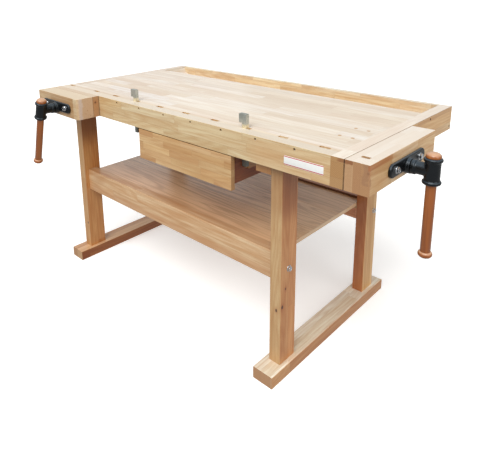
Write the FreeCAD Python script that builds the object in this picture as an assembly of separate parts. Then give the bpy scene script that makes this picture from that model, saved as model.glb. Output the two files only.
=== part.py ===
import FreeCAD, Part
import math
import os

# Woodworking bench: two sledge-foot end frames joined by bolted stretchers, a laminated top with
# a dog-hole beam along the front and a tool tray along the back, a front vise at the left corner,
# an end vise at the right end, a drawer under the apron and a shelf on the stretchers.
#
# Working axes, in millimetres: X runs along the bench from the left end of the top, Y runs from
# the apron's front face to the back, Z rises from the floor. Every node is moved at export so that
# the origin lies on the floor under the middle of the whole bench.

V = FreeCAD.Vector

# ---------------------------------------------------------------- driving dimensions

# worktop
TOP_HEIGHT = 860.0            # floor to working surface
TOP_LENGTH = 1529.0           # left end of the top to the outer face of the right end cap
TOP_DEPTH = 786.0             # apron front face to the back of the tray rail
BEAM_HEIGHT = 90.0            # apron, dog-hole beam, end caps, rail and vise jaws
SLAB_THICKNESS = 40.0         # laminated slab, and so the depth of the tray
END_CAP_WIDTH = 42.0
TONGUE_LENGTH = 12.0          # slab tongue let into each end cap
TONGUE_THICKNESS = 14.0
EDGE_EASE = 1.5               # rounding of handled wooden edges

# dog-hole beam: apron, blocks between the holes, inner lamination
APRON_THICKNESS = 43.0
BLOCK_THICKNESS = 14.6        # also the width of every dog hole
INNER_THICKNESS = 22.4
DOG_HOLE_LENGTH = 20.6
DOG_SEAT_LENGTH = 15.0        # shallow seat beside each hole for a sunk dog's head
DOG_SEAT_DEPTH = 32.0
DOG_POCKET_DEPTH = 190.0      # a hole over a leg runs on into the leg, this far below the top
END_DOG_HOLE_X = 28.0         # the hole at the far left, beside the front vise
LAST_DOG_HOLE_SETBACK = 99.0  # the hole nearest the end vise, from the right end of the top
DOG_PITCH = 149.5
PITCHED_DOG_HOLES = 9

# tool tray
TRAY_WIDTH = 149.0
RAIL_THICKNESS = 25.0
TRAY_FLOOR_THICKNESS = 12.0
TRAY_FLOOR_LAP = 16.0         # the floor laps under the slab
RAIL_GROOVE_DEPTH = 8.0
COVE_LIP = 2.0

# end frames
LEFT_FRAME_X = 90.0           # middle of the left frame
RIGHT_FRAME_SETBACK = 2.5     # middle of the right frame, left of the last hole but one
LEG_THICKNESS = 46.0          # along X
LEG_DEPTH = 84.0              # along Y
FRONT_LEG_Y = 32.0            # front face of the front legs
REAR_LEG_SETBACK = 184.0      # front face of the rear legs, from the back of the top
FOOT_WIDTH = 82.0
FOOT_HEIGHT = 45.0
FOOT_FRONT_Y = -33.0
FOOT_REAR_SETBACK = 39.0      # rear end of each foot, from the back of the top
LEG_EDGE_EASE = 2.0
TENON_THICKNESS = 24.0
TENON_WIDTH = 56.0
TENON_LENGTH = 30.0
BEARER_WIDTH = 62.0
BEARER_DROP = 128.0           # lower edge of the bearers below the working surface
BEARER_REAR_OVERHANG = 14.0   # bearer runs this far behind the rear legs
VISE_RELIEF_END_Y = 270.0     # the left bearer is cut low as far back as this, clear of the vise

# stretchers and shelf
STRETCHER_THICKNESS = 46.0
STRETCHER_HEIGHT = 103.0
STRETCHER_BOTTOM_Z = 349.0
SHELF_DROP = 10.0             # shelf surface below the tops of the stretchers
SHELF_THICKNESS = 15.0
SHELF_BOARDS = 3
SHELF_BOARD_GAP = 0.6
SHELF_END_GAP = 1.0
LEDGE_SIZE = 20.0

# drawer
DRAWER_SETBACK = 82.0         # right end of the face, from the right bearer
DRAWER_FACE_WIDTH = 501.0
DRAWER_FACE_HEIGHT = 122.0
DRAWER_FACE_THICKNESS = 18.0
DRAWER_TOP_GAP = 3.0
DRAWER_SIDE_INSET = 10.0      # each side set in from the end of the face
DRAWER_SIDE_THICKNESS = 14.0
DRAWER_SIDE_BOTTOM_RISE = 15.0
DRAWER_SIDE_TOP_DROP = 9.0
DRAWER_BOX_DEPTH = 380.0
DRAWER_BOTTOM_THICKNESS = 5.0
DRAWER_BOTTOM_RISE = 8.0      # bottom panel above the lower edge of the sides
DRAWER_GROOVE_DEPTH = 6.0
RUNNER_GROOVE_HEIGHT = 13.0
RUNNER_GROOVE_RISE = 45.0     # runner groove above the lower edge of the sides
HANGER_THICKNESS = 18.0

# vises
VISE_DROP = 57.0              # both screws below the working surface
JAW_GAP = 1.5                 # seam between a closed jaw and its fixed face
FRONT_BLOCK_LENGTH = 332.0    # front vise jaw and fixed jaw, from the left end of the top
FRONT_VISE_X = 163.0
FRONT_FIXED_JAW = 28.0
FRONT_JAW_THICKNESS = 75.5
FRONT_JAW_CHAMFER = 9.0
FRONT_ROD_OFFSET = 36.0
FRONT_NUT_SCREW_OFFSET = 19.5
END_JAW_THICKNESS = 75.5
END_JAW_LENGTH = 429.0
END_VISE_SHIFT = 4.0          # screw behind the middle of the end jaw
END_ROD_OFFSET = 85.0
END_NUT_SCREW_OFFSET = 52.0
END_JAW_DOG_HOLE_X = 36.0     # middle of the jaw's dog hole from its inner face
END_JAW_DOG_HOLE_LENGTH = 26.0
GUIDE_BLOCK_LENGTH = 102.0
GUIDE_BLOCK_WIDTH = 210.0
GUIDE_BLOCK_HEIGHT = 40.0

# vise hardware, the same for both vises
FLANGE_LENGTH = 230.0
FLANGE_HEIGHT = 42.0
FLANGE_THICKNESS = 9.0
FLANGE_BOLT_OFFSET = 77.0
FLANGE_RISE = 7.5             # middle of the plate above the screw
BOSS_RADIUS = 24.5
BOSS_LENGTH = 20.0
COLLAR_RADIUS = 22.5
COLLAR_LENGTH = 12.0
NECK_RADIUS = 19.5
HUB_DISTANCE = 78.0           # jaw face to the axis of the handle sleeve
HUB_RADIUS = 22.0
HUB_RIM_RADIUS = 26.5
HUB_HEIGHT = 78.0
HUB_RIM_HEIGHT = 9.0
HUB_RIM_EASE = 3.0            # rounding of the rims
HUB_FLARE_WIDTH = 1.2         # how far the sleeve widens before its rim
HUB_FLARE_START = 0.5
HUB_FLARE_BEND = 2.0
HUB_FLARE_LENGTH = 7.0
HUB_BORE_WALL = 4.0           # between the screw's socket and the handle's bore
SCREW_RADIUS = 11.0
SCREW_INNER_END = 330.0       # jaw face to the inner end of the screw
THRUST_RING_RADIUS = 17.0
THRUST_RING_LENGTH = 6.0
ROD_RADIUS = 8.0
ROD_BITE = 35.0               # depth that each guide rod is let into its jaw
ROD_INNER_END = 318.0
NUT_PLATE_MARGIN = 13.0       # plate beyond the axes of the guide rods
NUT_PLATE_HEIGHT = 28.0
NUT_PLATE_THICKNESS = 8.0
NUT_BOSS_RADIUS = 14.5
GUIDE_BOSS_RADIUS = 11.5
NUT_BOSS_LENGTH = 24.0        # both kinds of boss, behind the plate
HANDLE_RADIUS = 14.8
HANDLE_HEAD_RADIUS = 21.5
HANDLE_HEAD_HEIGHT = 16.0
HANDLE_KNOB_RADIUS = 20.5
HANDLE_KNOB_HEIGHT = 20.0
HANDLE_HEAD_EASE = 3.0
HANDLE_LENGTH = 326.0         # head to knob, over all
KNOB_SPIGOT_RADIUS = 8.0
KNOB_SPIGOT_LENGTH = 12.0
HANDLE_BORE_CLEARANCE = 0.6
FRONT_HANDLE_TILT = 17.5      # degrees that the front handle leans, foot to the left

# bench dogs
DOG_HEAD_LENGTH = 32.0
DOG_HEAD_HEIGHT = 31.0
DOG_THICKNESS = 14.0
DOG_SHANK_LENGTH = 20.0
DOG_STAND = 48.0              # how far the dogs stand above the top
DOG_HEIGHT = 182.0
DOG_SPRING_THICKNESS = 1.2
DOG_SPRING_GAP = 1.5
DOG_SPRING_ANCHOR = 16.0
DOG_SPRING_INSET = 2.0        # leaf narrower than the shank, each side
DOG_SPRING_DROP = 1.5         # top of the leaf below the head
LEFT_DOG_HOLE = 2             # which pitched holes hold the two dogs
RIGHT_DOG_HOLE = 6

# fasteners
BOLT_RADIUS = 5.0
WASHER_RADIUS = 11.0
WASHER_THICKNESS = 1.8
HEX_ACROSS_FLATS = 16.0
HEX_HEIGHT = 6.5
STRETCHER_BOLT_LENGTH = 112.0
BARREL_RADIUS = 8.0
BARREL_LENGTH = 26.0
BARREL_BACKSET = 45.0         # barrel nut from the end of the stretcher
BEARER_BOLT_RISE = 19.0       # above the lower edge of the bearers
BEARER_BOLT_SETBACK = 66.0    # from the front leg's front face
LAG_RADIUS = 4.0
LAG_LENGTH = 108.0
LAG_FRONT_GAP = 60.0          # front lag screws behind the left bearer's relief
LAG_REAR_GAP = 62.0           # rear lag screws ahead of the rear legs
FLANGE_BOLT_LENGTH = 45.0
TRIM_SCREW_RADIUS = 2.0
TRIM_HEAD_RADIUS = 4.2
TRIM_HEAD_HEIGHT = 3.0
TRIM_SCREW_LENGTH = 40.0
TRIM_SCREW_SINK = 6.0
APRON_SCREW_DROP = 10.0       # screw line below the working surface
APRON_SCREW_OFFSET = 84.0     # from the dog hole on its left
CAP_SCREW_SETBACK = 29.0      # from the slab's rear edge
CAP_SCREW_RISE = 14.0         # above the lower edge of the rail
NUT_SCREW_RADIUS = 2.5
NUT_SCREW_LENGTH = 22.0
NUT_SCREW_HEAD_RADIUS = 4.0
NUT_SCREW_HEAD_HEIGHT = 3.0
DOWEL_RADIUS = 6.0
DOWEL_LENGTH = 76.0
DOWEL_STEPS = (22.0, 67.0)    # dowels of the guide block, from its left end, seen on the top
DOWEL_OFFSETS = (-38.0, 62.5)   # from the axis of the end vise

# fits
WOOD_FIT = 0.2                # tenons, tongues and grooves, each side
SCREW_FIT = 0.1               # fasteners in wood, radial
RUNNING_FIT = 0.06            # screw and rods in their castings, radial
BORE_CLEARANCE = 1.0          # screw and rods through plain wood, radial
SEAT_GAP = 0.3                # a moving piece at rest on its stop
DRAWER_FIT = 1.0              # drawer sides beside their hangers

# ---------------------------------------------------------------- derived places

BEAM_BOTTOM_Z = TOP_HEIGHT - BEAM_HEIGHT
SLAB_BOTTOM_Z = TOP_HEIGHT - SLAB_THICKNESS
TRAY_FLOOR_BOTTOM_Z = SLAB_BOTTOM_Z - TRAY_FLOOR_THICKNESS
BLOCK_Y = APRON_THICKNESS
INNER_Y = BLOCK_Y + BLOCK_THICKNESS
SLAB_FRONT_Y = INNER_Y + INNER_THICKNESS
RAIL_Y = TOP_DEPTH - RAIL_THICKNESS
SLAB_REAR_Y = RAIL_Y - TRAY_WIDTH
RIGHT_CAP_X = TOP_LENGTH - END_CAP_WIDTH
DOG_HOLE_Y = BLOCK_Y + BLOCK_THICKNESS / 2
DOG_SEAT_Z = TOP_HEIGHT - DOG_SEAT_DEPTH
LAST_DOG_HOLE_X = TOP_LENGTH - LAST_DOG_HOLE_SETBACK
FIRST_PITCHED_X = LAST_DOG_HOLE_X - DOG_PITCH * (PITCHED_DOG_HOLES - 1)
PITCHED_HOLES_X = [FIRST_PITCHED_X + DOG_PITCH * i for i in range(PITCHED_DOG_HOLES)]
DOG_HOLES_X = [END_DOG_HOLE_X] + PITCHED_HOLES_X

VISE_Z = TOP_HEIGHT - VISE_DROP
RIGHT_FRAME_X = LAST_DOG_HOLE_X - DOG_PITCH - RIGHT_FRAME_SETBACK
REAR_LEG_Y = TOP_DEPTH - REAR_LEG_SETBACK
FOOT_LENGTH = TOP_DEPTH - FOOT_REAR_SETBACK - FOOT_FRONT_Y
LEG_TOP_REAR_Z = TRAY_FLOOR_BOTTOM_Z
BEARER_BOTTOM_Z = TOP_HEIGHT - BEARER_DROP
BEARER_BOLT_Z = BEARER_BOTTOM_Z + BEARER_BOLT_RISE
LAG_Y = (VISE_RELIEF_END_Y + LAG_FRONT_GAP, REAR_LEG_Y - LAG_REAR_GAP)
FRONT_STRETCHER_Y = FRONT_LEG_Y + (LEG_DEPTH - STRETCHER_THICKNESS) / 2
REAR_STRETCHER_Y = REAR_LEG_Y + LEG_DEPTH - STRETCHER_THICKNESS   # flush with the legs' rear faces
STRETCHER_BOLT_Y = [y0 + STRETCHER_THICKNESS / 2 for y0 in (FRONT_STRETCHER_Y, REAR_STRETCHER_Y)]
STRETCHER_TOP_Z = STRETCHER_BOTTOM_Z + STRETCHER_HEIGHT
STRETCHER_BOLT_Z = STRETCHER_BOTTOM_Z + STRETCHER_HEIGHT / 2
STRETCHER_X0 = LEFT_FRAME_X + LEG_THICKNESS / 2
STRETCHER_X1 = RIGHT_FRAME_X - LEG_THICKNESS / 2
SHELF_FRONT_Y = FRONT_STRETCHER_Y + STRETCHER_THICKNESS
SHELF_REAR_Y = REAR_STRETCHER_Y
SHELF_BOTTOM_Z = STRETCHER_TOP_Z - SHELF_DROP - SHELF_THICKNESS
LEFT_BEARER_X = STRETCHER_X0
RIGHT_BEARER_X = STRETCHER_X1 - BEARER_WIDTH
BEARER_END_Y = REAR_LEG_Y + LEG_DEPTH + BEARER_REAR_OVERHANG
BEARER_BOLT_Y = (FRONT_LEG_Y + BEARER_BOLT_SETBACK, REAR_LEG_Y + LEG_DEPTH / 2)

DRAWER_FACE_TOP_Z = BEAM_BOTTOM_Z - DRAWER_TOP_GAP
DRAWER_FACE_BOTTOM_Z = DRAWER_FACE_TOP_Z - DRAWER_FACE_HEIGHT
DRAWER_RIGHT_X = RIGHT_BEARER_X - DRAWER_SETBACK
DRAWER_LEFT_X = DRAWER_RIGHT_X - DRAWER_FACE_WIDTH
DRAWER_SIDE_BOTTOM_Z = DRAWER_FACE_BOTTOM_Z + DRAWER_SIDE_BOTTOM_RISE
DRAWER_SIDE_TOP_Z = DRAWER_FACE_TOP_Z - DRAWER_SIDE_TOP_DROP
DRAWER_BOX_REAR_Y = DRAWER_FACE_THICKNESS + DRAWER_BOX_DEPTH
DRAWER_PANEL_Z = DRAWER_SIDE_BOTTOM_Z + DRAWER_BOTTOM_RISE
RUNNER_GROOVE_Z = DRAWER_SIDE_BOTTOM_Z + RUNNER_GROOVE_RISE
RUNNER_GROOVE_Y = SLAB_FRONT_Y - SEAT_GAP   # the groove's end meets the runner when shut

FRONT_JAW_INNER_Y = -FRONT_FIXED_JAW - JAW_GAP
FRONT_JAW_FACE_Y = FRONT_JAW_INNER_Y - FRONT_JAW_THICKNESS
END_VISE_Y = END_JAW_LENGTH / 2 + END_VISE_SHIFT
END_JAW_INNER_X = TOP_LENGTH + JAW_GAP
END_JAW_FACE_X = END_JAW_INNER_X + END_JAW_THICKNESS
GUIDE_BLOCK_X = RIGHT_CAP_X - GUIDE_BLOCK_LENGTH
DOWEL_X = [GUIDE_BLOCK_X + step for step in DOWEL_STEPS]
DOWEL_Y = [END_VISE_Y + offset for offset in DOWEL_OFFSETS]
HANDLE_TOP_Z = HUB_HEIGHT / 2 + SEAT_GAP + HANDLE_HEAD_HEIGHT
KNOB_TOP_Z = HANDLE_TOP_Z - HANDLE_LENGTH + HANDLE_KNOB_HEIGHT

# the origin, under the middle of the whole bench with both vises closed
BENCH_X_MAX = END_JAW_FACE_X + HUB_DISTANCE + HUB_RIM_RADIUS
BENCH_Y_MIN = FRONT_JAW_FACE_Y - HUB_DISTANCE - HUB_RIM_RADIUS
ORIGIN = V(BENCH_X_MAX / 2, (BENCH_Y_MIN + TOP_DEPTH) / 2, 0)

X_AXIS = V(1, 0, 0)
Y_AXIS = V(0, 1, 0)
Z_AXIS = V(0, 0, 1)


# ---------------------------------------------------------------- shape helpers

def box(x0, x1, y0, y1, z0, z1):
    """A block between two opposite corners."""
    return Part.makeBox(x1 - x0, y1 - y0, z1 - z0, V(x0, y0, z0))


def rod(start, axis, length, radius):
    """A round bar or, as a cutter, a round hole."""
    return Part.makeCylinder(radius, length, start, axis)


def hexagon(start, axis, height, across_flats):
    """A hexagonal bolt head or nut."""
    radius = across_flats / math.sqrt(3)
    points = []
    for i in range(7):
        angle = math.radians(60 * i)
        points.append(V(radius * math.cos(angle), radius * math.sin(angle), 0))
    head = Part.Face(Part.makePolygon(points)).extrude(V(0, 0, height))
    head.Placement = FreeCAD.Placement(start, FreeCAD.Rotation(Z_AXIS, axis))
    return head


def fuse(pieces):
    """One solid from pieces that overlap or meet."""
    return pieces[0].multiFuse(pieces[1:]).removeSplitter()


def cut(shape, cutters):
    """The shape with every cutter taken out."""
    for cutter in cutters:
        shape = shape.cut(cutter)
    return shape


def eased(shape, radius, chosen):
    """Round the straight edges for which chosen(middle, direction) holds."""
    edges = []
    for edge in shape.Edges:
        first = edge.Vertexes[0].Point
        last = edge.Vertexes[-1].Point
        middle = (first + last) * 0.5
        direction = (last - first).normalize()
        if chosen(middle, direction):
            edges.append(edge)
    return shape.makeFillet(radius, edges)


def along(axis):
    """Choose the edges that run along an axis."""
    return lambda middle, direction: abs(direction.dot(axis)) > 0.999


def revolved(points, axis_start, axis):
    """A turned solid from a closed outline of points."""
    wire = Part.makePolygon(points + [points[0]])
    return Part.Face(wire).revolve(axis_start, axis, 360)


# ---------------------------------------------------------------- end frames

def foot(frame_x):
    """Sledge foot that runs from front to back, mortised for both legs."""
    x0 = frame_x - FOOT_WIDTH / 2
    body = box(x0, x0 + FOOT_WIDTH, FOOT_FRONT_Y, FOOT_FRONT_Y + FOOT_LENGTH, 0, FOOT_HEIGHT)
    body = eased(body, LEG_EDGE_EASE, along(Y_AXIS))
    mortises = []
    for leg_y in (FRONT_LEG_Y, REAR_LEG_Y):
        mortises.append(tenon_block(frame_x, leg_y, WOOD_FIT))
    return cut(body, mortises)


def tenon_block(frame_x, leg_y, clearance):
    """A leg's lower tenon, or its mortise when grown by a clearance."""
    half_x = TENON_THICKNESS / 2 + clearance
    half_y = TENON_WIDTH / 2 + clearance
    mid_y = leg_y + LEG_DEPTH / 2
    bottom = FOOT_HEIGHT - TENON_LENGTH - clearance
    return box(frame_x - half_x, frame_x + half_x, mid_y - half_y, mid_y + half_y, bottom, FOOT_HEIGHT)


def leg(frame_x, leg_y, top_z):
    """Upright with a lower tenon and the holes for its stretcher and bearer bolts."""
    x0 = frame_x - LEG_THICKNESS / 2
    body = box(x0, x0 + LEG_THICKNESS, leg_y, leg_y + LEG_DEPTH, FOOT_HEIGHT, top_z)
    body = eased(body, LEG_EDGE_EASE, along(Z_AXIS))
    body = fuse([body, tenon_block(frame_x, leg_y, 0)])
    hole_radius = BOLT_RADIUS + SCREW_FIT
    end = 0 if leg_y == FRONT_LEG_Y else 1
    start = V(x0, STRETCHER_BOLT_Y[end], STRETCHER_BOLT_Z)
    stretcher_hole = rod(start, X_AXIS, LEG_THICKNESS, hole_radius)
    bearer_hole = rod(V(x0, BEARER_BOLT_Y[end], BEARER_BOLT_Z), X_AXIS, LEG_THICKNESS, hole_radius)
    return cut(body, [stretcher_hole, bearer_hole])


def front_leg(frame_x):
    """Front leg, notched at the top to carry the dog-hole beam and reach the slab."""
    body = leg(frame_x, FRONT_LEG_Y, SLAB_BOTTOM_Z)
    x0 = frame_x - LEG_THICKNESS / 2
    x1 = x0 + LEG_THICKNESS
    cutters = [box(x0, x1, FRONT_LEG_Y, SLAB_FRONT_Y, BEAM_BOTTOM_Z, SLAB_BOTTOM_Z)]
    half = DOG_HOLE_LENGTH / 2
    for x in DOG_HOLES_X:
        if x0 < x < x1:
            pocket_z = TOP_HEIGHT - DOG_POCKET_DEPTH
            cutters.append(box(x - half, x + half, BLOCK_Y, INNER_Y, pocket_z, BEAM_BOTTOM_Z))
    return cut(body, cutters)


def rear_leg(frame_x):
    """Rear leg, as high as the underside of the tray."""
    return leg(frame_x, REAR_LEG_Y, LEG_TOP_REAR_Z)


def bearer(x0, relief_end_y):
    """Upper rail bolted to a pair of legs, notched for the beam, the tray and the front vise."""
    x1 = x0 + BEARER_WIDTH
    body = box(x0, x1, FRONT_LEG_Y, BEARER_END_Y, BEARER_BOTTOM_Z, SLAB_BOTTOM_Z)
    beam_notch = box(x0, x1, FRONT_LEG_Y, relief_end_y, BEAM_BOTTOM_Z, SLAB_BOTTOM_Z)
    tray_y = SLAB_REAR_Y - TRAY_FLOOR_LAP
    tray_notch = box(x0, x1, tray_y, BEARER_END_Y, TRAY_FLOOR_BOTTOM_Z, SLAB_BOTTOM_Z)
    cutters = [beam_notch, tray_notch]
    for y in BEARER_BOLT_Y:
        cutters.append(rod(V(x0, y, BEARER_BOLT_Z), X_AXIS, BEARER_WIDTH, BOLT_RADIUS + SCREW_FIT))
    for y in LAG_Y:
        start = V(x0 + BEARER_WIDTH / 2, y, BEARER_BOTTOM_Z)
        cutters.append(rod(start, Z_AXIS, SLAB_BOTTOM_Z - BEARER_BOTTOM_Z, LAG_RADIUS + SCREW_FIT))
    return cut(body, cutters)


def bearer_bolts():
    """Cup-head bolts through each leg and bearer, with their nuts."""
    solids = []
    for leg_x, direction in ((STRETCHER_X0 - LEG_THICKNESS, 1), (STRETCHER_X1 + LEG_THICKNESS, -1)):
        axis = X_AXIS * direction
        grip = LEG_THICKNESS + BEARER_WIDTH
        for y in BEARER_BOLT_Y:
            start = V(leg_x, y, BEARER_BOLT_Z)
            shank = rod(start, axis, grip + HEX_HEIGHT + SCREW_FIT, BOLT_RADIUS)
            cup = Part.makeSphere(WASHER_RADIUS, start).common(
                rod(start - axis * (WASHER_RADIUS / 2), axis, WASHER_RADIUS / 2, WASHER_RADIUS))
            solids.append(fuse([shank, cup]))
            nut = hexagon(start + axis * grip, axis, HEX_HEIGHT, HEX_ACROSS_FLATS)
            bore = rod(start + axis * grip, axis, HEX_HEIGHT, BOLT_RADIUS + RUNNING_FIT)
            solids.append(nut.cut(bore))
    return Part.makeCompound(solids)


def lag_screws():
    """Hexagon-head screws that hold the slab down on the bearers."""
    solids = []
    for x0 in (LEFT_BEARER_X, RIGHT_BEARER_X):
        for y in LAG_Y:
            start = V(x0 + BEARER_WIDTH / 2, y, BEARER_BOTTOM_Z)
            shank = rod(start, Z_AXIS, LAG_LENGTH, LAG_RADIUS)
            head = hexagon(start - Z_AXIS * HEX_HEIGHT, Z_AXIS, HEX_HEIGHT, HEX_ACROSS_FLATS)
            solids.append(fuse([shank, head]))
    return Part.makeCompound(solids)


# ---------------------------------------------------------------- stretchers and shelf

def stretcher(y0, inner_y):
    """Long rail between the end frames, bored at each end for a bolt and its barrel nut."""
    body = box(STRETCHER_X0, STRETCHER_X1, y0, y0 + STRETCHER_THICKNESS, STRETCHER_BOTTOM_Z, STRETCHER_TOP_Z)
    body = eased(body, LEG_EDGE_EASE, along(X_AXIS))
    cutters = []
    mid_y = y0 + STRETCHER_THICKNESS / 2
    bolt_depth = STRETCHER_BOLT_LENGTH - LEG_THICKNESS + SCREW_FIT
    for end_x, direction in ((STRETCHER_X0, 1), (STRETCHER_X1, -1)):
        axis = X_AXIS * direction
        start = V(end_x, mid_y, STRETCHER_BOLT_Z)
        cutters.append(rod(start, axis, bolt_depth, BOLT_RADIUS + SCREW_FIT))
        cutters.append(barrel_bore(end_x + direction * BARREL_BACKSET, mid_y, inner_y))
    return cut(body, cutters)


def barrel_bore(x, mid_y, inner_y):
    """Cross bore for a barrel nut, from the stretcher's inner face past its bolt."""
    inward = 1 if inner_y > mid_y else -1
    depth = STRETCHER_THICKNESS / 2 + BARREL_LENGTH / 2 + WOOD_FIT
    start = V(x, inner_y, STRETCHER_BOLT_Z)
    return rod(start, Y_AXIS * -inward, depth, BARREL_RADIUS + SCREW_FIT)


def stretcher_bolts():
    """Hexagon bolts with washers on the outer faces of the legs."""
    solids = []
    for mid_y in STRETCHER_BOLT_Y:
        for leg_x, direction in ((STRETCHER_X0 - LEG_THICKNESS, 1), (STRETCHER_X1 + LEG_THICKNESS, -1)):
            axis = X_AXIS * direction
            start = V(leg_x, mid_y, STRETCHER_BOLT_Z)
            shank = rod(start, axis, STRETCHER_BOLT_LENGTH, BOLT_RADIUS)
            washer = rod(start - axis * WASHER_THICKNESS, axis, WASHER_THICKNESS, WASHER_RADIUS)
            head_start = start - axis * (WASHER_THICKNESS + HEX_HEIGHT)
            head = hexagon(head_start, axis, HEX_HEIGHT, HEX_ACROSS_FLATS)
            solids.append(fuse([shank, washer, head]))
    return Part.makeCompound(solids)


def barrel_nuts():
    """Cross dowels of steel inside the stretchers."""
    solids = []
    for mid_y in STRETCHER_BOLT_Y:
        for x in (STRETCHER_X0 + BARREL_BACKSET, STRETCHER_X1 - BARREL_BACKSET):
            start = V(x, mid_y - BARREL_LENGTH / 2, STRETCHER_BOLT_Z)
            barrel = rod(start, Y_AXIS, BARREL_LENGTH, BARREL_RADIUS)
            bore_start = V(x - BARREL_RADIUS, mid_y, STRETCHER_BOLT_Z)
            bore = rod(bore_start, X_AXIS, 2 * BARREL_RADIUS, BOLT_RADIUS + RUNNING_FIT)
            solids.append(barrel.cut(bore))
    return Part.makeCompound(solids)


def shelf_ledges():
    """Battens on the inner faces of the stretchers that carry the shelf boards."""
    z0 = SHELF_BOTTOM_Z - LEDGE_SIZE
    solids = []
    for y0 in (SHELF_FRONT_Y, SHELF_REAR_Y - LEDGE_SIZE):
        ledge = box(STRETCHER_X0, STRETCHER_X1, y0, y0 + LEDGE_SIZE, z0, SHELF_BOTTOM_Z)
        solids.append(ledge)
    return Part.makeCompound(solids)


def shelf_board(index):
    """One of the boards that lie along the bench between the stretchers."""
    span = SHELF_REAR_Y - SHELF_FRONT_Y
    pitch = span / SHELF_BOARDS
    y0 = SHELF_FRONT_Y + pitch * index + SHELF_BOARD_GAP / 2
    y1 = y0 + pitch - SHELF_BOARD_GAP
    x0 = STRETCHER_X0 + SHELF_END_GAP
    x1 = STRETCHER_X1 - SHELF_END_GAP
    board = box(x0, x1, y0, y1, SHELF_BOTTOM_Z, SHELF_BOTTOM_Z + SHELF_THICKNESS)
    return eased(board, SHELF_BOARD_GAP, along(X_AXIS))


# ---------------------------------------------------------------- top

def front_vise_bores():
    """Clearance holes for the front vise's screw and rods, from its fixed jaw to the slab."""
    start_y = -FRONT_FIXED_JAW
    length = FRONT_FIXED_JAW + SLAB_FRONT_Y
    bores = [rod(V(FRONT_VISE_X, start_y, VISE_Z), Y_AXIS, length, SCREW_RADIUS + BORE_CLEARANCE)]
    for side in (-1, 1):
        start = V(FRONT_VISE_X + side * FRONT_ROD_OFFSET, start_y, VISE_Z)
        bores.append(rod(start, Y_AXIS, length, ROD_RADIUS + BORE_CLEARANCE))
    return bores


def apron():
    """Front board of the beam, with the countersunk screw holes along its upper edge."""
    body = box(0, RIGHT_CAP_X, 0, APRON_THICKNESS, BEAM_BOTTOM_Z, TOP_HEIGHT)
    front_edges = lambda middle, direction: middle.y < 1 and abs(direction.x) > 0.999
    body = eased(body, EDGE_EASE, front_edges)
    cutters = front_vise_bores()
    for x in apron_screw_places():
        cutters.extend(trim_screw_holes(V(x, 0, TOP_HEIGHT - APRON_SCREW_DROP), Y_AXIS))
    return cut(body, cutters)


def apron_screw_places():
    """One screw between each pair of dog holes beyond the front vise."""
    return [x + APRON_SCREW_OFFSET for x in PITCHED_HOLES_X[1:-1]]


def trim_screw_holes(face_point, axis):
    """Sunk hole for a trim screw, head recess and shank."""
    recess = rod(face_point, axis, TRIM_SCREW_SINK + TRIM_HEAD_HEIGHT, TRIM_HEAD_RADIUS + SCREW_FIT)
    shank = rod(face_point, axis, TRIM_SCREW_SINK + TRIM_SCREW_LENGTH, TRIM_SCREW_RADIUS + SCREW_FIT)
    return [recess, shank]


def trim_screw(face_point, axis):
    """A screw sunk below the surface it enters."""
    head_start = face_point + axis * TRIM_SCREW_SINK
    head = rod(head_start, axis, TRIM_HEAD_HEIGHT, TRIM_HEAD_RADIUS)
    shank = rod(head_start, axis, TRIM_SCREW_LENGTH, TRIM_SCREW_RADIUS)
    return fuse([head, shank])


def trim_screws():
    """The apron's screws and those through the ends of the end caps."""
    solids = []
    for x in apron_screw_places():
        solids.append(trim_screw(V(x, 0, TOP_HEIGHT - APRON_SCREW_DROP), Y_AXIS))
    for face_x, direction in ((0, 1), (TOP_LENGTH, -1)):
        for y, z in cap_screw_places():
            solids.append(trim_screw(V(face_x, y, z), X_AXIS * direction))
    return Part.makeCompound(solids)


def cap_screw_places():
    """Where each end cap is screwed to the slab's rear edge and to the rail."""
    slab_screw = (SLAB_REAR_Y - CAP_SCREW_SETBACK, TOP_HEIGHT - APRON_SCREW_DROP)
    rail_screw = (RAIL_Y + RAIL_THICKNESS / 2, BEAM_BOTTOM_Z + CAP_SCREW_RISE)
    return [slab_screw, rail_screw]


def dog_hole_blocks():
    """Blocks between the dog holes, each rebated beside its hole to seat a sunk dog's head."""
    half = DOG_HOLE_LENGTH / 2
    starts = [0] + [x + half for x in DOG_HOLES_X]
    ends = [x - half for x in DOG_HOLES_X] + [RIGHT_CAP_X]
    cutters = front_vise_bores()
    for x in DOG_HOLES_X:
        seat_x = x + half
        cutters.append(box(seat_x, seat_x + DOG_SEAT_LENGTH, BLOCK_Y, INNER_Y, DOG_SEAT_Z, TOP_HEIGHT))
    for x in apron_screw_places():
        cutters.append(trim_screw_holes(V(x, 0, TOP_HEIGHT - APRON_SCREW_DROP), Y_AXIS)[1])
    solids = []
    for x0, x1 in zip(starts, ends):
        block = box(x0, x1, BLOCK_Y, INNER_Y, BEAM_BOTTOM_Z, TOP_HEIGHT)
        solids.append(cut(block, [cutter for cutter in cutters if block.common(cutter).Volume > 0]))
    return Part.makeCompound(solids)


def beam_lamination():
    """Inner board of the beam, between the dog holes and the slab."""
    body = box(0, RIGHT_CAP_X, INNER_Y, SLAB_FRONT_Y, BEAM_BOTTOM_Z, TOP_HEIGHT)
    cutters = front_vise_bores()
    for shank in nut_screw_shanks(FRONT_NUT_X, FRONT_NUT_SCREW_OFFSET, SCREW_FIT):
        cutters.append(at_front_vise(shank))
    return cut(body, cutters)


def tongue(clearance):
    """Tongues at both ends of the slab, or their grooves when grown by a clearance."""
    mid_z = SLAB_BOTTOM_Z + SLAB_THICKNESS / 2
    half = TONGUE_THICKNESS / 2 + clearance
    x0 = END_CAP_WIDTH - TONGUE_LENGTH - clearance
    x1 = RIGHT_CAP_X + TONGUE_LENGTH + clearance
    return box(x0, x1, SLAB_FRONT_Y, SLAB_REAR_Y + clearance, mid_z - half, mid_z + half)


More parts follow.
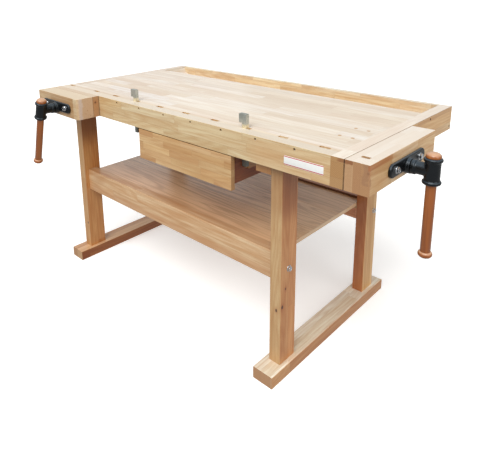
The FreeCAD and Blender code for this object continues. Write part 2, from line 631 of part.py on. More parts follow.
def main_top():
    """Laminated slab with tongues, bored for its dowels, lag screws and end screws."""
    body = box(END_CAP_WIDTH, RIGHT_CAP_X, SLAB_FRONT_Y, SLAB_REAR_Y, SLAB_BOTTOM_Z, TOP_HEIGHT)
    body = fuse([body, tongue(0)])
    cutters = guide_dowel_solids(SCREW_FIT)
    for x0 in (LEFT_BEARER_X, RIGHT_BEARER_X):
        for y in LAG_Y:
            start = V(x0 + BEARER_WIDTH / 2, y, BEARER_BOTTOM_Z)
            cutters.append(rod(start, Z_AXIS, LAG_LENGTH + SCREW_FIT, LAG_RADIUS + SCREW_FIT))
    cutters.extend(cap_screw_shanks())
    return cut(body, cutters)


def cap_screw_shanks():
    """Shank holes of the end-cap screws, at both ends of the bench."""
    holes = []
    for face_x, direction in ((0, 1), (TOP_LENGTH, -1)):
        for y, z in cap_screw_places():
            holes.append(trim_screw_holes(V(face_x, y, z), X_AXIS * direction)[1])
    return holes


def end_cap(x0, front_y, outer_x, direction):
    """Board across an end of the top, grooved for the slab's tongue."""
    x1 = x0 + END_CAP_WIDTH
    body = box(x0, x1, front_y, TOP_DEPTH, BEAM_BOTTOM_Z, TOP_HEIGHT)
    outer_edges = lambda middle, axis: abs(middle.x - outer_x) < 0.01 and abs(axis.y) > 0.999
    body = eased(body, EDGE_EASE, outer_edges)
    cutters = [tongue(WOOD_FIT)]
    for y, z in cap_screw_places():
        cutters.extend(trim_screw_holes(V(outer_x, y, z), X_AXIS * direction))
    return cut(body, cutters)


def left_end_cap():
    """Left end cap, behind the dog-hole beam."""
    return end_cap(0, SLAB_FRONT_Y, 0, 1)


def right_end_cap():
    """Right end cap, the fixed face of the end vise, bored for its screw and guide rods."""
    body = end_cap(RIGHT_CAP_X, 0, TOP_LENGTH, -1)
    cutters = [rod(V(RIGHT_CAP_X, END_VISE_Y, VISE_Z), X_AXIS, END_CAP_WIDTH, SCREW_RADIUS + BORE_CLEARANCE)]
    for side in (-1, 1):
        start = V(RIGHT_CAP_X, END_VISE_Y + side * END_ROD_OFFSET, VISE_Z)
        cutters.append(rod(start, X_AXIS, END_CAP_WIDTH, ROD_RADIUS + BORE_CLEARANCE))
    return cut(body, cutters)


def back_rail():
    """Rail behind the tool tray, grooved for the tray's floor."""
    body = box(END_CAP_WIDTH, RIGHT_CAP_X, RAIL_Y, TOP_DEPTH, BEAM_BOTTOM_Z, TOP_HEIGHT)
    rear_edges = lambda middle, direction: middle.y > TOP_DEPTH - 1 and abs(direction.x) > 0.999
    body = eased(body, EDGE_EASE, rear_edges)
    z0 = TRAY_FLOOR_BOTTOM_Z - WOOD_FIT
    z1 = SLAB_BOTTOM_Z + WOOD_FIT
    groove = box(END_CAP_WIDTH, RIGHT_CAP_X, RAIL_Y, RAIL_Y + RAIL_GROOVE_DEPTH + WOOD_FIT, z0, z1)
    return cut(body, [groove] + cap_screw_shanks())


def tray_floor():
    """Thin panel that laps under the slab and enters the rail's groove."""
    y0 = SLAB_REAR_Y - TRAY_FLOOR_LAP
    y1 = RAIL_Y + RAIL_GROOVE_DEPTH
    return box(END_CAP_WIDTH, RIGHT_CAP_X, y0, y1, TRAY_FLOOR_BOTTOM_Z, SLAB_BOTTOM_Z)


def tray_coves():
    """Hollow-faced blocks that slope the two ends of the tray."""
    radius = SLAB_THICKNESS - COVE_LIP
    length = radius + COVE_LIP
    depth = RAIL_Y - SLAB_REAR_Y
    solids = []
    right_x = RIGHT_CAP_X - length
    for x0, scoop_x in ((END_CAP_WIDTH, END_CAP_WIDTH + length), (right_x, right_x)):
        block = box(x0, x0 + length, SLAB_REAR_Y, RAIL_Y, SLAB_BOTTOM_Z, TOP_HEIGHT)
        scoop = rod(V(scoop_x, SLAB_REAR_Y, TOP_HEIGHT), Y_AXIS, depth, radius)
        solids.append(block.cut(scoop))
    return Part.makeCompound(solids)


# ---------------------------------------------------------------- vise hardware
# Built once about a vise's own axes: the origin is where the screw leaves the jaw's outer face,
# +X points away from the bench, +Y runs across the jaw and +Z is up.

def at_front_vise(shape):
    """Place vise hardware on the front jaw, with its +X turned to the front."""
    placed = shape.copy()
    placed.rotate(V(0, 0, 0), Z_AXIS, -90)
    placed.translate(V(FRONT_VISE_X, FRONT_JAW_FACE_Y, VISE_Z))
    return placed


def at_end_vise(shape):
    """Place vise hardware on the end jaw."""
    placed = shape.copy()
    placed.translate(V(END_JAW_FACE_X, END_VISE_Y, VISE_Z))
    return placed


def tilted(shape):
    """Turn the front vise's screw parts to where their handle leans."""
    turned = shape.copy()
    turned.rotate(V(0, 0, 0), X_AXIS, -FRONT_HANDLE_TILT)
    return turned


def flange():
    """Cast plate with round ends and a raised boss in which the screw turns."""
    half = FLANGE_LENGTH / 2 - FLANGE_HEIGHT / 2
    z0 = FLANGE_RISE - FLANGE_HEIGHT / 2
    plate = box(0, FLANGE_THICKNESS, -half, half, z0, z0 + FLANGE_HEIGHT)
    ends = []
    for side in (-1, 1):
        start = V(0, side * half, FLANGE_RISE)
        ends.append(rod(start, X_AXIS, FLANGE_THICKNESS, FLANGE_HEIGHT / 2))
    body = fuse([plate] + ends)
    outer = [edge for edge in body.Edges if abs(edge.CenterOfMass.x - FLANGE_THICKNESS) < 0.01]
    body = body.makeFillet(FLANGE_THICKNESS * 0.35, outer)
    boss = Part.makeCone(BOSS_RADIUS, COLLAR_RADIUS + 1, BOSS_LENGTH, V(0, 0, 0), X_AXIS)
    body = fuse([body, boss])
    cutters = [rod(V(0, 0, 0), X_AXIS, BOSS_LENGTH, SCREW_RADIUS + RUNNING_FIT)]
    for side in (-1, 1):
        start = V(0, side * FLANGE_BOLT_OFFSET, FLANGE_RISE)
        cutters.append(rod(start, X_AXIS, FLANGE_THICKNESS, BOLT_RADIUS + SCREW_FIT))
    return cut(body, cutters)


def flange_bolts():
    """Hexagon-head screws with washers that fix the flange to its jaw."""
    solids = []
    for side in (-1, 1):
        face = V(FLANGE_THICKNESS, side * FLANGE_BOLT_OFFSET, FLANGE_RISE)
        shank = rod(face - X_AXIS * FLANGE_BOLT_LENGTH, X_AXIS, FLANGE_BOLT_LENGTH, BOLT_RADIUS)
        washer = rod(face, X_AXIS, WASHER_THICKNESS, WASHER_RADIUS)
        head = hexagon(face + X_AXIS * WASHER_THICKNESS, X_AXIS, HEX_HEIGHT, HEX_ACROSS_FLATS)
        solids.append(fuse([shank, washer, head]))
    return Part.makeCompound(solids)


def hub():
    """Casting on the end of the screw: a ringed neck and a flared sleeve for the handle."""
    neck_start = BOSS_LENGTH + SEAT_GAP
    neck = rod(V(neck_start, 0, 0), X_AXIS, HUB_DISTANCE - neck_start, NECK_RADIUS)
    ring = rod(V(neck_start, 0, 0), X_AXIS, COLLAR_LENGTH, COLLAR_RADIUS)
    bore_radius = HANDLE_RADIUS + HANDLE_BORE_CLEARANCE
    body = fuse([neck, ring, hub_sleeve()])
    handle_bore = rod(V(HUB_DISTANCE, 0, -HUB_HEIGHT / 2), Z_AXIS, HUB_HEIGHT, bore_radius)
    socket = rod(V(neck_start, 0, 0), X_AXIS, screw_socket_depth(), SCREW_RADIUS + RUNNING_FIT)
    return cut(body, [handle_bore, socket])


def screw_socket_depth():
    """How far the screw enters the hub's neck, short of the handle's bore."""
    bore_radius = HANDLE_RADIUS + HANDLE_BORE_CLEARANCE
    return HUB_DISTANCE - BOSS_LENGTH - SEAT_GAP - bore_radius - HUB_BORE_WALL


def hub_sleeve():
    """Turned sleeve whose two ends flare out to a rounded rim."""
    half = HUB_HEIGHT / 2
    flare = half - HUB_RIM_HEIGHT
    profile = [V(0, 0, -half), V(HUB_RIM_RADIUS - HUB_RIM_EASE, 0, -half)]
    profile.append(V(HUB_RIM_RADIUS, 0, -half + HUB_RIM_EASE))
    profile.append(V(HUB_RIM_RADIUS, 0, -flare - HUB_FLARE_START))
    profile.append(V(HUB_RADIUS + HUB_FLARE_WIDTH, 0, -flare + HUB_FLARE_BEND))
    profile.append(V(HUB_RADIUS, 0, -flare + HUB_FLARE_LENGTH))
    upper = [V(point.x, 0, -point.z) for point in reversed(profile)]
    sleeve = revolved(profile + upper, V(0, 0, 0), Z_AXIS)
    sleeve.translate(V(HUB_DISTANCE, 0, 0))
    return sleeve


def vise_screw():
    """Steel screw with the thrust ring that draws the jaw open."""
    outer_end = BOSS_LENGTH + SEAT_GAP + screw_socket_depth() - WOOD_FIT
    shaft = rod(V(-SCREW_INNER_END, 0, 0), X_AXIS, SCREW_INNER_END + outer_end, SCREW_RADIUS)
    ring_start = V(-SEAT_GAP - THRUST_RING_LENGTH, 0, 0)
    ring = rod(ring_start, X_AXIS, THRUST_RING_LENGTH, THRUST_RING_RADIUS)
    return fuse([shaft, ring])


def guide_rods(jaw_thickness, offset):
    """Two bright steel rods fixed in the jaw."""
    outer_end = ROD_BITE - jaw_thickness
    solids = []
    for side in (-1, 1):
        start = V(-ROD_INNER_END, side * offset, 0)
        solids.append(rod(start, X_AXIS, ROD_INNER_END + outer_end, ROD_RADIUS))
    return Part.makeCompound(solids)


def jaw_cutters(jaw_thickness, rod_offset):
    """Holes in a jaw for its screw, thrust ring, guide rods and flange screws."""
    cutters = [rod(V(-jaw_thickness, 0, 0), X_AXIS, jaw_thickness, SCREW_RADIUS + BORE_CLEARANCE)]
    pocket_depth = THRUST_RING_LENGTH + 2 * BORE_CLEARANCE
    cutters.append(rod(V(-pocket_depth, 0, 0), X_AXIS, pocket_depth, THRUST_RING_RADIUS + BORE_CLEARANCE))
    for side in (-1, 1):
        rod_start = V(-jaw_thickness, side * rod_offset, 0)
        cutters.append(rod(rod_start, X_AXIS, ROD_BITE, ROD_RADIUS + RUNNING_FIT))
        bolt_depth = FLANGE_BOLT_LENGTH - FLANGE_THICKNESS + SCREW_FIT
        bolt_start = V(-bolt_depth, side * FLANGE_BOLT_OFFSET, FLANGE_RISE)
        cutters.append(rod(bolt_start, X_AXIS, bolt_depth, BOLT_RADIUS + SCREW_FIT))
    return cutters


def handle():
    """Turned bar with a domed head, and at its lower end a spigot for the knob."""
    head_bottom = HUB_HEIGHT / 2 + SEAT_GAP
    spigot_end = KNOB_TOP_Z - KNOB_SPIGOT_LENGTH
    profile = [V(0, 0, spigot_end), V(KNOB_SPIGOT_RADIUS, 0, spigot_end)]
    profile.append(V(KNOB_SPIGOT_RADIUS, 0, KNOB_TOP_Z))
    profile.append(V(HANDLE_RADIUS, 0, KNOB_TOP_Z))
    profile.append(V(HANDLE_RADIUS, 0, head_bottom))
    profile.append(V(HANDLE_HEAD_RADIUS - HANDLE_HEAD_EASE, 0, head_bottom))
    profile.extend(dome(HANDLE_HEAD_RADIUS, head_bottom, HANDLE_HEAD_HEIGHT))
    bar = revolved(profile, V(0, 0, 0), Z_AXIS)
    bar.translate(V(HUB_DISTANCE, 0, 0))
    return bar


def handle_knob():
    """Knob glued on the spigot of the bar, which keeps the handle in its sleeve."""
    outline = dome(HANDLE_KNOB_RADIUS, -KNOB_TOP_Z, HANDLE_KNOB_HEIGHT)
    profile = [V(point.x, 0, -point.z) for point in outline]
    profile.append(V(0, 0, KNOB_TOP_Z))
    profile.append(V(HANDLE_KNOB_RADIUS - HANDLE_HEAD_EASE, 0, KNOB_TOP_Z))
    knob = revolved(profile, V(0, 0, 0), Z_AXIS)
    socket_depth = KNOB_SPIGOT_LENGTH + WOOD_FIT
    socket_start = V(0, 0, KNOB_TOP_Z - socket_depth)
    knob = knob.cut(rod(socket_start, Z_AXIS, socket_depth, KNOB_SPIGOT_RADIUS + SCREW_FIT))
    knob.translate(V(HUB_DISTANCE, 0, 0))
    return knob


def dome(radius, bottom, height):
    """Outline of a rounded end: a short belly and a flattened crown."""
    steps = ((1.0, 0.30), (1.0, 0.50), (0.93, 0.70), (0.78, 0.86), (0.55, 0.96), (0.0, 1.0))
    return [V(radius * across, 0, bottom + height * up) for across, up in steps]


def nut_plate(x_face, rod_offset, screw_offset):
    """Casting screwed to the wood at x_face: the nut in the middle and a guide for each rod."""
    half_y = rod_offset + NUT_PLATE_MARGIN
    half_z = NUT_PLATE_HEIGHT / 2
    rear_x = x_face - NUT_PLATE_THICKNESS - NUT_BOSS_LENGTH
    length = x_face - rear_x
    pieces = [box(x_face - NUT_PLATE_THICKNESS, x_face, -half_y, half_y, -half_z, half_z)]
    pieces.append(rod(V(rear_x, 0, 0), X_AXIS, length, NUT_BOSS_RADIUS))
    cutters = [rod(V(rear_x, 0, 0), X_AXIS, length, SCREW_RADIUS + RUNNING_FIT)]
    for side in (-1, 1):
        start = V(rear_x, side * rod_offset, 0)
        pieces.append(rod(start, X_AXIS, length, GUIDE_BOSS_RADIUS))
        cutters.append(rod(start, X_AXIS, length, ROD_RADIUS + RUNNING_FIT))
        start = V(rear_x, side * screw_offset, 0)
        cutters.append(rod(start, X_AXIS, length, NUT_SCREW_RADIUS + SCREW_FIT))
    return cut(fuse(pieces), cutters)


def front_nut_plate():
    """Nut plate of the front vise."""
    return at_front_vise(nut_plate(FRONT_NUT_X, FRONT_ROD_OFFSET, FRONT_NUT_SCREW_OFFSET))


def end_nut_plate():
    """Nut plate of the end vise."""
    return at_end_vise(nut_plate(END_NUT_X, END_ROD_OFFSET, END_NUT_SCREW_OFFSET))


def nut_screw_shanks(x_face, screw_offset, clearance):
    """The screws that hold a nut plate, or their holes when grown by a clearance."""
    solids = []
    for side in (-1, 1):
        start = V(x_face - NUT_PLATE_THICKNESS, side * screw_offset, 0)
        length = NUT_PLATE_THICKNESS + NUT_SCREW_LENGTH + clearance
        solids.append(rod(start, X_AXIS, length, NUT_SCREW_RADIUS + clearance))
    return solids


def nut_screws(x_face, screw_offset):
    """Pan-head screws of one nut plate."""
    solids = []
    for shank in nut_screw_shanks(x_face, screw_offset, 0):
        head_start = V(x_face - NUT_PLATE_THICKNESS - NUT_SCREW_HEAD_HEIGHT, shank.CenterOfMass.y, 0)
        head = rod(head_start, X_AXIS, NUT_SCREW_HEAD_HEIGHT, NUT_SCREW_HEAD_RADIUS)
        solids.append(fuse([shank, head]))
    return solids


# where the nut plates seat, measured along each vise from its jaw's outer face
FRONT_NUT_X = FRONT_JAW_FACE_Y - SLAB_FRONT_Y
END_NUT_X = GUIDE_BLOCK_X - END_JAW_FACE_X


def vise_nut_screws():
    """The screws of both nut plates."""
    front = [at_front_vise(screw) for screw in nut_screws(FRONT_NUT_X, FRONT_NUT_SCREW_OFFSET)]
    end = [at_end_vise(screw) for screw in nut_screws(END_NUT_X, END_NUT_SCREW_OFFSET)]
    return Part.makeCompound(front + end)


# ---------------------------------------------------------------- vise jaws

def front_fixed_jaw():
    """Facing glued to the apron, against which the front jaw closes."""
    body = box(0, FRONT_BLOCK_LENGTH, -FRONT_FIXED_JAW, 0, BEAM_BOTTOM_Z, TOP_HEIGHT)
    return cut(body, front_vise_bores())


def front_jaw():
    """Moving jaw of the front vise, with its free corner cut off."""
    body = box(0, FRONT_BLOCK_LENGTH, FRONT_JAW_FACE_Y, FRONT_JAW_INNER_Y, BEAM_BOTTOM_Z, TOP_HEIGHT)
    corner = [edge for edge in body.Edges if is_front_corner(edge)]
    body = body.makeChamfer(FRONT_JAW_CHAMFER, corner)
    outer = lambda middle, direction: middle.y < FRONT_JAW_INNER_Y - 1 and abs(direction.z) < 0.5
    body = eased(body, EDGE_EASE, outer)
    holes = jaw_cutters(FRONT_JAW_THICKNESS, FRONT_ROD_OFFSET)
    return cut(body, [at_front_vise(hole) for hole in holes])


def is_front_corner(edge):
    """The upright edge at the front right of the front jaw."""
    middle = edge.CenterOfMass
    at_right = abs(middle.x - FRONT_BLOCK_LENGTH) < 0.01
    at_front = abs(middle.y - FRONT_JAW_FACE_Y) < 0.01
    return at_right and at_front and abs(middle.z - TOP_HEIGHT + BEAM_HEIGHT / 2) < 0.01


def end_jaw():
    """Moving jaw of the end vise, with one dog hole in line with the beam's."""
    body = box(END_JAW_INNER_X, END_JAW_FACE_X, 0, END_JAW_LENGTH, BEAM_BOTTOM_Z, TOP_HEIGHT)
    outer = lambda middle, direction: middle.x > END_JAW_FACE_X - 1
    body = eased(body, EDGE_EASE, outer)
    holes = jaw_cutters(END_JAW_THICKNESS, END_ROD_OFFSET)
    body = cut(body, [at_end_vise(hole) for hole in holes])
    mid_x = END_JAW_INNER_X + END_JAW_DOG_HOLE_X
    half = END_JAW_DOG_HOLE_LENGTH / 2
    dog_hole = box(mid_x - half, mid_x + half, BLOCK_Y, INNER_Y, BEAM_BOTTOM_Z, TOP_HEIGHT)
    return body.cut(dog_hole)


def end_vise_guide_block():
    """Block under the slab behind the right end cap, which steadies the guide rods."""
    y0 = END_VISE_Y - GUIDE_BLOCK_WIDTH / 2
    z0 = SLAB_BOTTOM_Z - GUIDE_BLOCK_HEIGHT
    body = box(GUIDE_BLOCK_X, RIGHT_CAP_X, y0, y0 + GUIDE_BLOCK_WIDTH, z0, SLAB_BOTTOM_Z)
    screw_start = V(GUIDE_BLOCK_X, END_VISE_Y, VISE_Z)
    cutters = [rod(screw_start, X_AXIS, GUIDE_BLOCK_LENGTH, SCREW_RADIUS + BORE_CLEARANCE)]
    for side in (-1, 1):
        start = V(GUIDE_BLOCK_X, END_VISE_Y + side * END_ROD_OFFSET, VISE_Z)
        cutters.append(rod(start, X_AXIS, GUIDE_BLOCK_LENGTH, ROD_RADIUS + BORE_CLEARANCE))
    for shank in nut_screw_shanks(END_NUT_X, END_NUT_SCREW_OFFSET, SCREW_FIT):
        cutters.append(at_end_vise(shank))
    cutters.extend(guide_dowel_solids(SCREW_FIT))
    return cut(body, cutters)


def guide_dowel_solids(clearance):
    """The dowels through slab and guide block, or their holes when grown by a clearance."""
    solids = []
    for x in DOWEL_X:
        for y in DOWEL_Y:
            start = V(x, y, TOP_HEIGHT - DOWEL_LENGTH - clearance)
            solids.append(rod(start, Z_AXIS, DOWEL_LENGTH + clearance, DOWEL_RADIUS + clearance))
    return solids


def guide_block_dowels():
    """Wooden dowels, flush with the worktop."""
    return Part.makeCompound(guide_dowel_solids(0))


# ---------------------------------------------------------------- drawer

def drawer_face():
    """Drawer front, grooved at the back for the bottom panel; its lower edge is the finger pull."""
    z0 = DRAWER_FACE_BOTTOM_Z
    z1 = DRAWER_FACE_TOP_Z
    body = box(DRAWER_LEFT_X, DRAWER_RIGHT_X, 0, DRAWER_FACE_THICKNESS, z0, z1)
    outer = lambda middle, direction: middle.y < 1
    body = eased(body, EDGE_EASE, outer)
    return body.cut(drawer_panel_block(WOOD_FIT))


def drawer_side_x(side):
    """Lower and upper X of the left (-1) or right (1) drawer side."""
    if side < 0:
        x0 = DRAWER_LEFT_X + DRAWER_SIDE_INSET
    else:
        x0 = DRAWER_RIGHT_X - DRAWER_SIDE_INSET - DRAWER_SIDE_THICKNESS
    return x0, x0 + DRAWER_SIDE_THICKNESS


def drawer_side(side):
    """Drawer side, grooved inside for the bottom and outside for its runner."""
    x0, x1 = drawer_side_x(side)
    rear_y = DRAWER_BOX_REAR_Y
    body = box(x0, x1, DRAWER_FACE_THICKNESS, rear_y, DRAWER_SIDE_BOTTOM_Z, DRAWER_SIDE_TOP_Z)
    z1 = RUNNER_GROOVE_Z + RUNNER_GROOVE_HEIGHT
    outer_x = x0 if side < 0 else x1 - DRAWER_GROOVE_DEPTH
    groove = box(outer_x, outer_x + DRAWER_GROOVE_DEPTH, RUNNER_GROOVE_Y, rear_y, RUNNER_GROOVE_Z, z1)
    return cut(body, [groove, drawer_panel_block(WOOD_FIT)])


def drawer_back():
    """Back of the drawer, between its sides and above the bottom panel."""
    x0 = drawer_side_x(-1)[1]
    x1 = drawer_side_x(1)[0]
    y0 = DRAWER_BOX_REAR_Y - DRAWER_SIDE_THICKNESS
    z0 = DRAWER_PANEL_Z + DRAWER_BOTTOM_THICKNESS
    return box(x0, x1, y0, DRAWER_BOX_REAR_Y, z0, DRAWER_SIDE_TOP_Z)


def drawer_panel_block(clearance):
    """The drawer's bottom panel, or its grooves when grown by a clearance."""
    x0 = drawer_side_x(-1)[1] - DRAWER_GROOVE_DEPTH - clearance
    x1 = drawer_side_x(1)[0] + DRAWER_GROOVE_DEPTH + clearance
    y0 = DRAWER_FACE_THICKNESS - DRAWER_GROOVE_DEPTH - clearance
    z0 = DRAWER_PANEL_Z - clearance
    return box(x0, x1, y0, DRAWER_BOX_REAR_Y, z0, z0 + DRAWER_BOTTOM_THICKNESS + 2 * clearance)


def drawer_bottom():
    """Thin bottom panel."""
    return drawer_panel_block(0)


def drawer_runner(side):
    """Hanger board under the slab with the rail that enters the drawer side's groove."""
    x0, x1 = drawer_side_x(side)
    rail_z = RUNNER_GROOVE_Z + SEAT_GAP
    rail_height = RUNNER_GROOVE_HEIGHT - 2 * SEAT_GAP
    reach = DRAWER_GROOVE_DEPTH - DRAWER_FIT
    if side < 0:
        hanger_x = x0 - DRAWER_FIT - HANGER_THICKNESS
        rail_x = x0 - DRAWER_FIT
    else:
        hanger_x = x1 + DRAWER_FIT
        rail_x = hanger_x - DRAWER_FIT - reach
    rear_y = DRAWER_BOX_REAR_Y
    hanger = box(hanger_x, hanger_x + HANGER_THICKNESS, SLAB_FRONT_Y, rear_y, rail_z, SLAB_BOTTOM_Z)
    rail_x1 = rail_x + DRAWER_FIT + reach
    rail = box(rail_x, rail_x1, SLAB_FRONT_Y, rear_y, rail_z, rail_z + rail_height)
    return fuse([hanger, rail])


def drawer_runners():
    """The two hangers, mirror images of each other."""
    return Part.makeCompound([drawer_runner(-1), drawer_runner(1)])


# ---------------------------------------------------------------- bench dogs

def dog(hole_x):
    """Steel dog: a thick head on a shank that is relieved for its spring."""
    x0 = hole_x - DOG_SHANK_LENGTH / 2
    x1 = x0 + DOG_SHANK_LENGTH
    y0 = DOG_HOLE_Y - DOG_THICKNESS / 2
    y1 = y0 + DOG_THICKNESS
    top_z = TOP_HEIGHT + DOG_STAND
    head = box(x1 - DOG_HEAD_LENGTH, x1, y0, y1, top_z - DOG_HEAD_HEIGHT, top_z)
    head = eased(head, EDGE_EASE, lambda middle, direction: middle.z > top_z - 1)
    relief = DOG_SPRING_THICKNESS + DOG_SPRING_GAP
    shank = box(x0 + relief, x1, y0, y1, top_z - DOG_HEIGHT, top_z - DOG_HEAD_HEIGHT)
    return fuse([head, shank])


def dog_spring(hole_x):
    """Leaf riveted low on the shank, which holds the dog at any height."""
    x0 = hole_x - DOG_SHANK_LENGTH / 2
    half = DOG_THICKNESS / 2 - DOG_SPRING_INSET
    bottom_z = TOP_HEIGHT + DOG_STAND - DOG_HEIGHT
    leaf_top_z = TOP_HEIGHT + DOG_STAND - DOG_HEAD_HEIGHT - DOG_SPRING_DROP
    leaf = box(x0, x0 + DOG_SPRING_THICKNESS, DOG_HOLE_Y - half, DOG_HOLE_Y + half, bottom_z, leaf_top_z)
    anchor_x = x0 + DOG_SPRING_THICKNESS + DOG_SPRING_GAP
    anchor = box(x0, anchor_x, DOG_HOLE_Y - half, DOG_HOLE_Y + half, bottom_z, bottom_z + DOG_SPRING_ANCHOR)
    return fuse([leaf, anchor])


# ---------------------------------------------------------------- nodes

def all_nodes():
    """Every named piece of the bench."""
    nodes = {
        "left_foot": foot(LEFT_FRAME_X),
        "right_foot": foot(RIGHT_FRAME_X),
        "left_front_leg": front_leg(LEFT_FRAME_X),
        "left_rear_leg": rear_leg(LEFT_FRAME_X),
        "right_front_leg": front_leg(RIGHT_FRAME_X),
        "right_rear_leg": rear_leg(RIGHT_FRAME_X),
        "left_bearer": bearer(LEFT_BEARER_X, VISE_RELIEF_END_Y),
        "right_bearer": bearer(RIGHT_BEARER_X, SLAB_FRONT_Y),
        "front_stretcher": stretcher(FRONT_STRETCHER_Y, FRONT_STRETCHER_Y + STRETCHER_THICKNESS),
        "rear_stretcher": stretcher(REAR_STRETCHER_Y, REAR_STRETCHER_Y),
        "shelf_ledges": shelf_ledges(),
        "stretcher_bolts": stretcher_bolts(),
        "barrel_nuts": barrel_nuts(),
        "bearer_bolts": bearer_bolts(),
        "lag_screws": lag_screws(),
        "main_top": main_top(),
        "apron": apron(),
        "dog_hole_blocks": dog_hole_blocks(),
        "beam_lamination": beam_lamination(),
        "left_end_cap": left_end_cap(),
        "right_end_cap": right_end_cap(),
        "back_rail": back_rail(),
        "tray_floor": tray_floor(),
        "tray_coves": tray_coves(),
        "trim_screws": trim_screws(),
        "front_vise_fixed_jaw": front_fixed_jaw(),
        "front_vise_nut_plate": front_nut_plate(),
        "end_vise_nut_plate": end_nut_plate(),
        "vise_nut_screws": vise_nut_screws(),
        "end_vise_guide_block": end_vise_guide_block(),
        "guide_block_dowels": guide_block_dowels(),
        "drawer_runners": drawer_runners(),
        "drawer_face": drawer_face(),
        "drawer_left_side": drawer_side(-1),
        "drawer_right_side": drawer_side(1),
        "drawer_back": drawer_back(),
        "drawer_bottom": drawer_bottom(),
        "front_vise_jaw": front_jaw(),
        "front_vise_flange": at_front_vise(flange()),
        "front_vise_flange_bolts": at_front_vise(flange_bolts()),
        "front_vise_guide_rods": at_front_vise(guide_rods(FRONT_JAW_THICKNESS, FRONT_ROD_OFFSET)),
        "front_vise_hub": at_front_vise(tilted(hub())),
        "front_vise_screw": at_front_vise(vise_screw()),
        "front_vise_handle": at_front_vise(tilted(handle())),
        "front_vise_handle_knob": at_front_vise(tilted(handle_knob())),
        "end_vise_jaw": end_jaw(),
        "end_vise_flange": at_end_vise(flange()),
        "end_vise_flange_bolts": at_end_vise(flange_bolts()),
        "end_vise_guide_rods": at_end_vise(guide_rods(END_JAW_THICKNESS, END_ROD_OFFSET)),
        "end_vise_hub": at_end_vise(hub()),
        "end_vise_screw": at_end_vise(vise_screw()),
        "end_vise_handle": at_end_vise(handle()),
        "end_vise_handle_knob": at_end_vise(handle_knob()),
    }
    for index in range(SHELF_BOARDS):
        nodes["shelf_board_%d" % (index + 1)] = shelf_board(index)
    for name, hole in (("left", LEFT_DOG_HOLE), ("right", RIGHT_DOG_HOLE)):
        nodes[name + "_dog"] = dog(PITCHED_HOLES_X[hole])
        nodes[name + "_dog_spring"] = dog_spring(PITCHED_HOLES_X[hole])
    return nodes


def main():
    os.makedirs("parts", exist_ok=True)
    for name, shape in all_nodes().items():
        placed = shape.copy()
        placed.translate(ORIGIN * -1)
        placed.exportStep("parts/%s.step" % name)
        print("%-26s solids %2d  volume %.0f mm3" % (name, len(placed.Solids), placed.Volume))


main()
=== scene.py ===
import math

import bmesh
import bpy
from mathutils import Matrix, Vector


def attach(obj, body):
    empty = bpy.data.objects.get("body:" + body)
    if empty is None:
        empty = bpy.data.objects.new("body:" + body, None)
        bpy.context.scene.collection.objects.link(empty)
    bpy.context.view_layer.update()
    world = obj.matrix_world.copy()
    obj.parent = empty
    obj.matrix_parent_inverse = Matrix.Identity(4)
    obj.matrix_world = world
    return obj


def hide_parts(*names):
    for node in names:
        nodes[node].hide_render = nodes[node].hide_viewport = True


# Finished look of the workbench: procedural materials on the CAD nodes, then castings, screws,
# handles and bolts drawn anew in the place of theirs, a blank plate, floor, light and camera.

# ---------------------------------------------------------------- frame

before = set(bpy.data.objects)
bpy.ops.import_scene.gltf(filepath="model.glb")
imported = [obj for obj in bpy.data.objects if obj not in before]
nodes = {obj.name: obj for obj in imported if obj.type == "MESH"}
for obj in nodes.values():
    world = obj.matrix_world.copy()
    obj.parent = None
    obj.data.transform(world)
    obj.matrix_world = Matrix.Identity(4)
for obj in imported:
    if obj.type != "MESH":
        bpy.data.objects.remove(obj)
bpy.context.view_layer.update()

X, Y, Z = 0, 1, 2
WHITE = (1.0, 1.0, 1.0, 1.0)

# The bench's own axes, in millimetres: X from the left end of the top, Y from the front of the
# apron, Z from the floor. The frame's origin lies at this point of the floor.
MIDDLE_X = 855.25
MIDDLE_Y = 288.25

# faces of the real bench, in millimetres on those axes
WORKING_HEIGHT = 860.0
TOP_RIGHT_END = 1529.0
END_JAW_FACE = 1606.0
FRONT_JAW_FACE = -105.0
FRONT_JAWS_END = 332.0
LEFT_LEG_FACE = 67.0
RIGHT_LEG_FACE = 1301.0


def on_bench(x, y, z):
    """The frame's place, in metres, of a place on the bench's own axes."""
    return ((x - MIDDLE_X) / 1000, (y - MIDDLE_Y) / 1000, z / 1000)


# ---------------------------------------------------------------- node helpers

def srgb(r, g, b):
    """Linear colour from 0-255 screen values."""
    out = []
    for value in (r, g, b):
        c = value / 255
        out.append(c / 12.92 if c <= 0.04045 else ((c + 0.055) / 1.055) ** 2.4)
    return (out[0], out[1], out[2], 1.0)


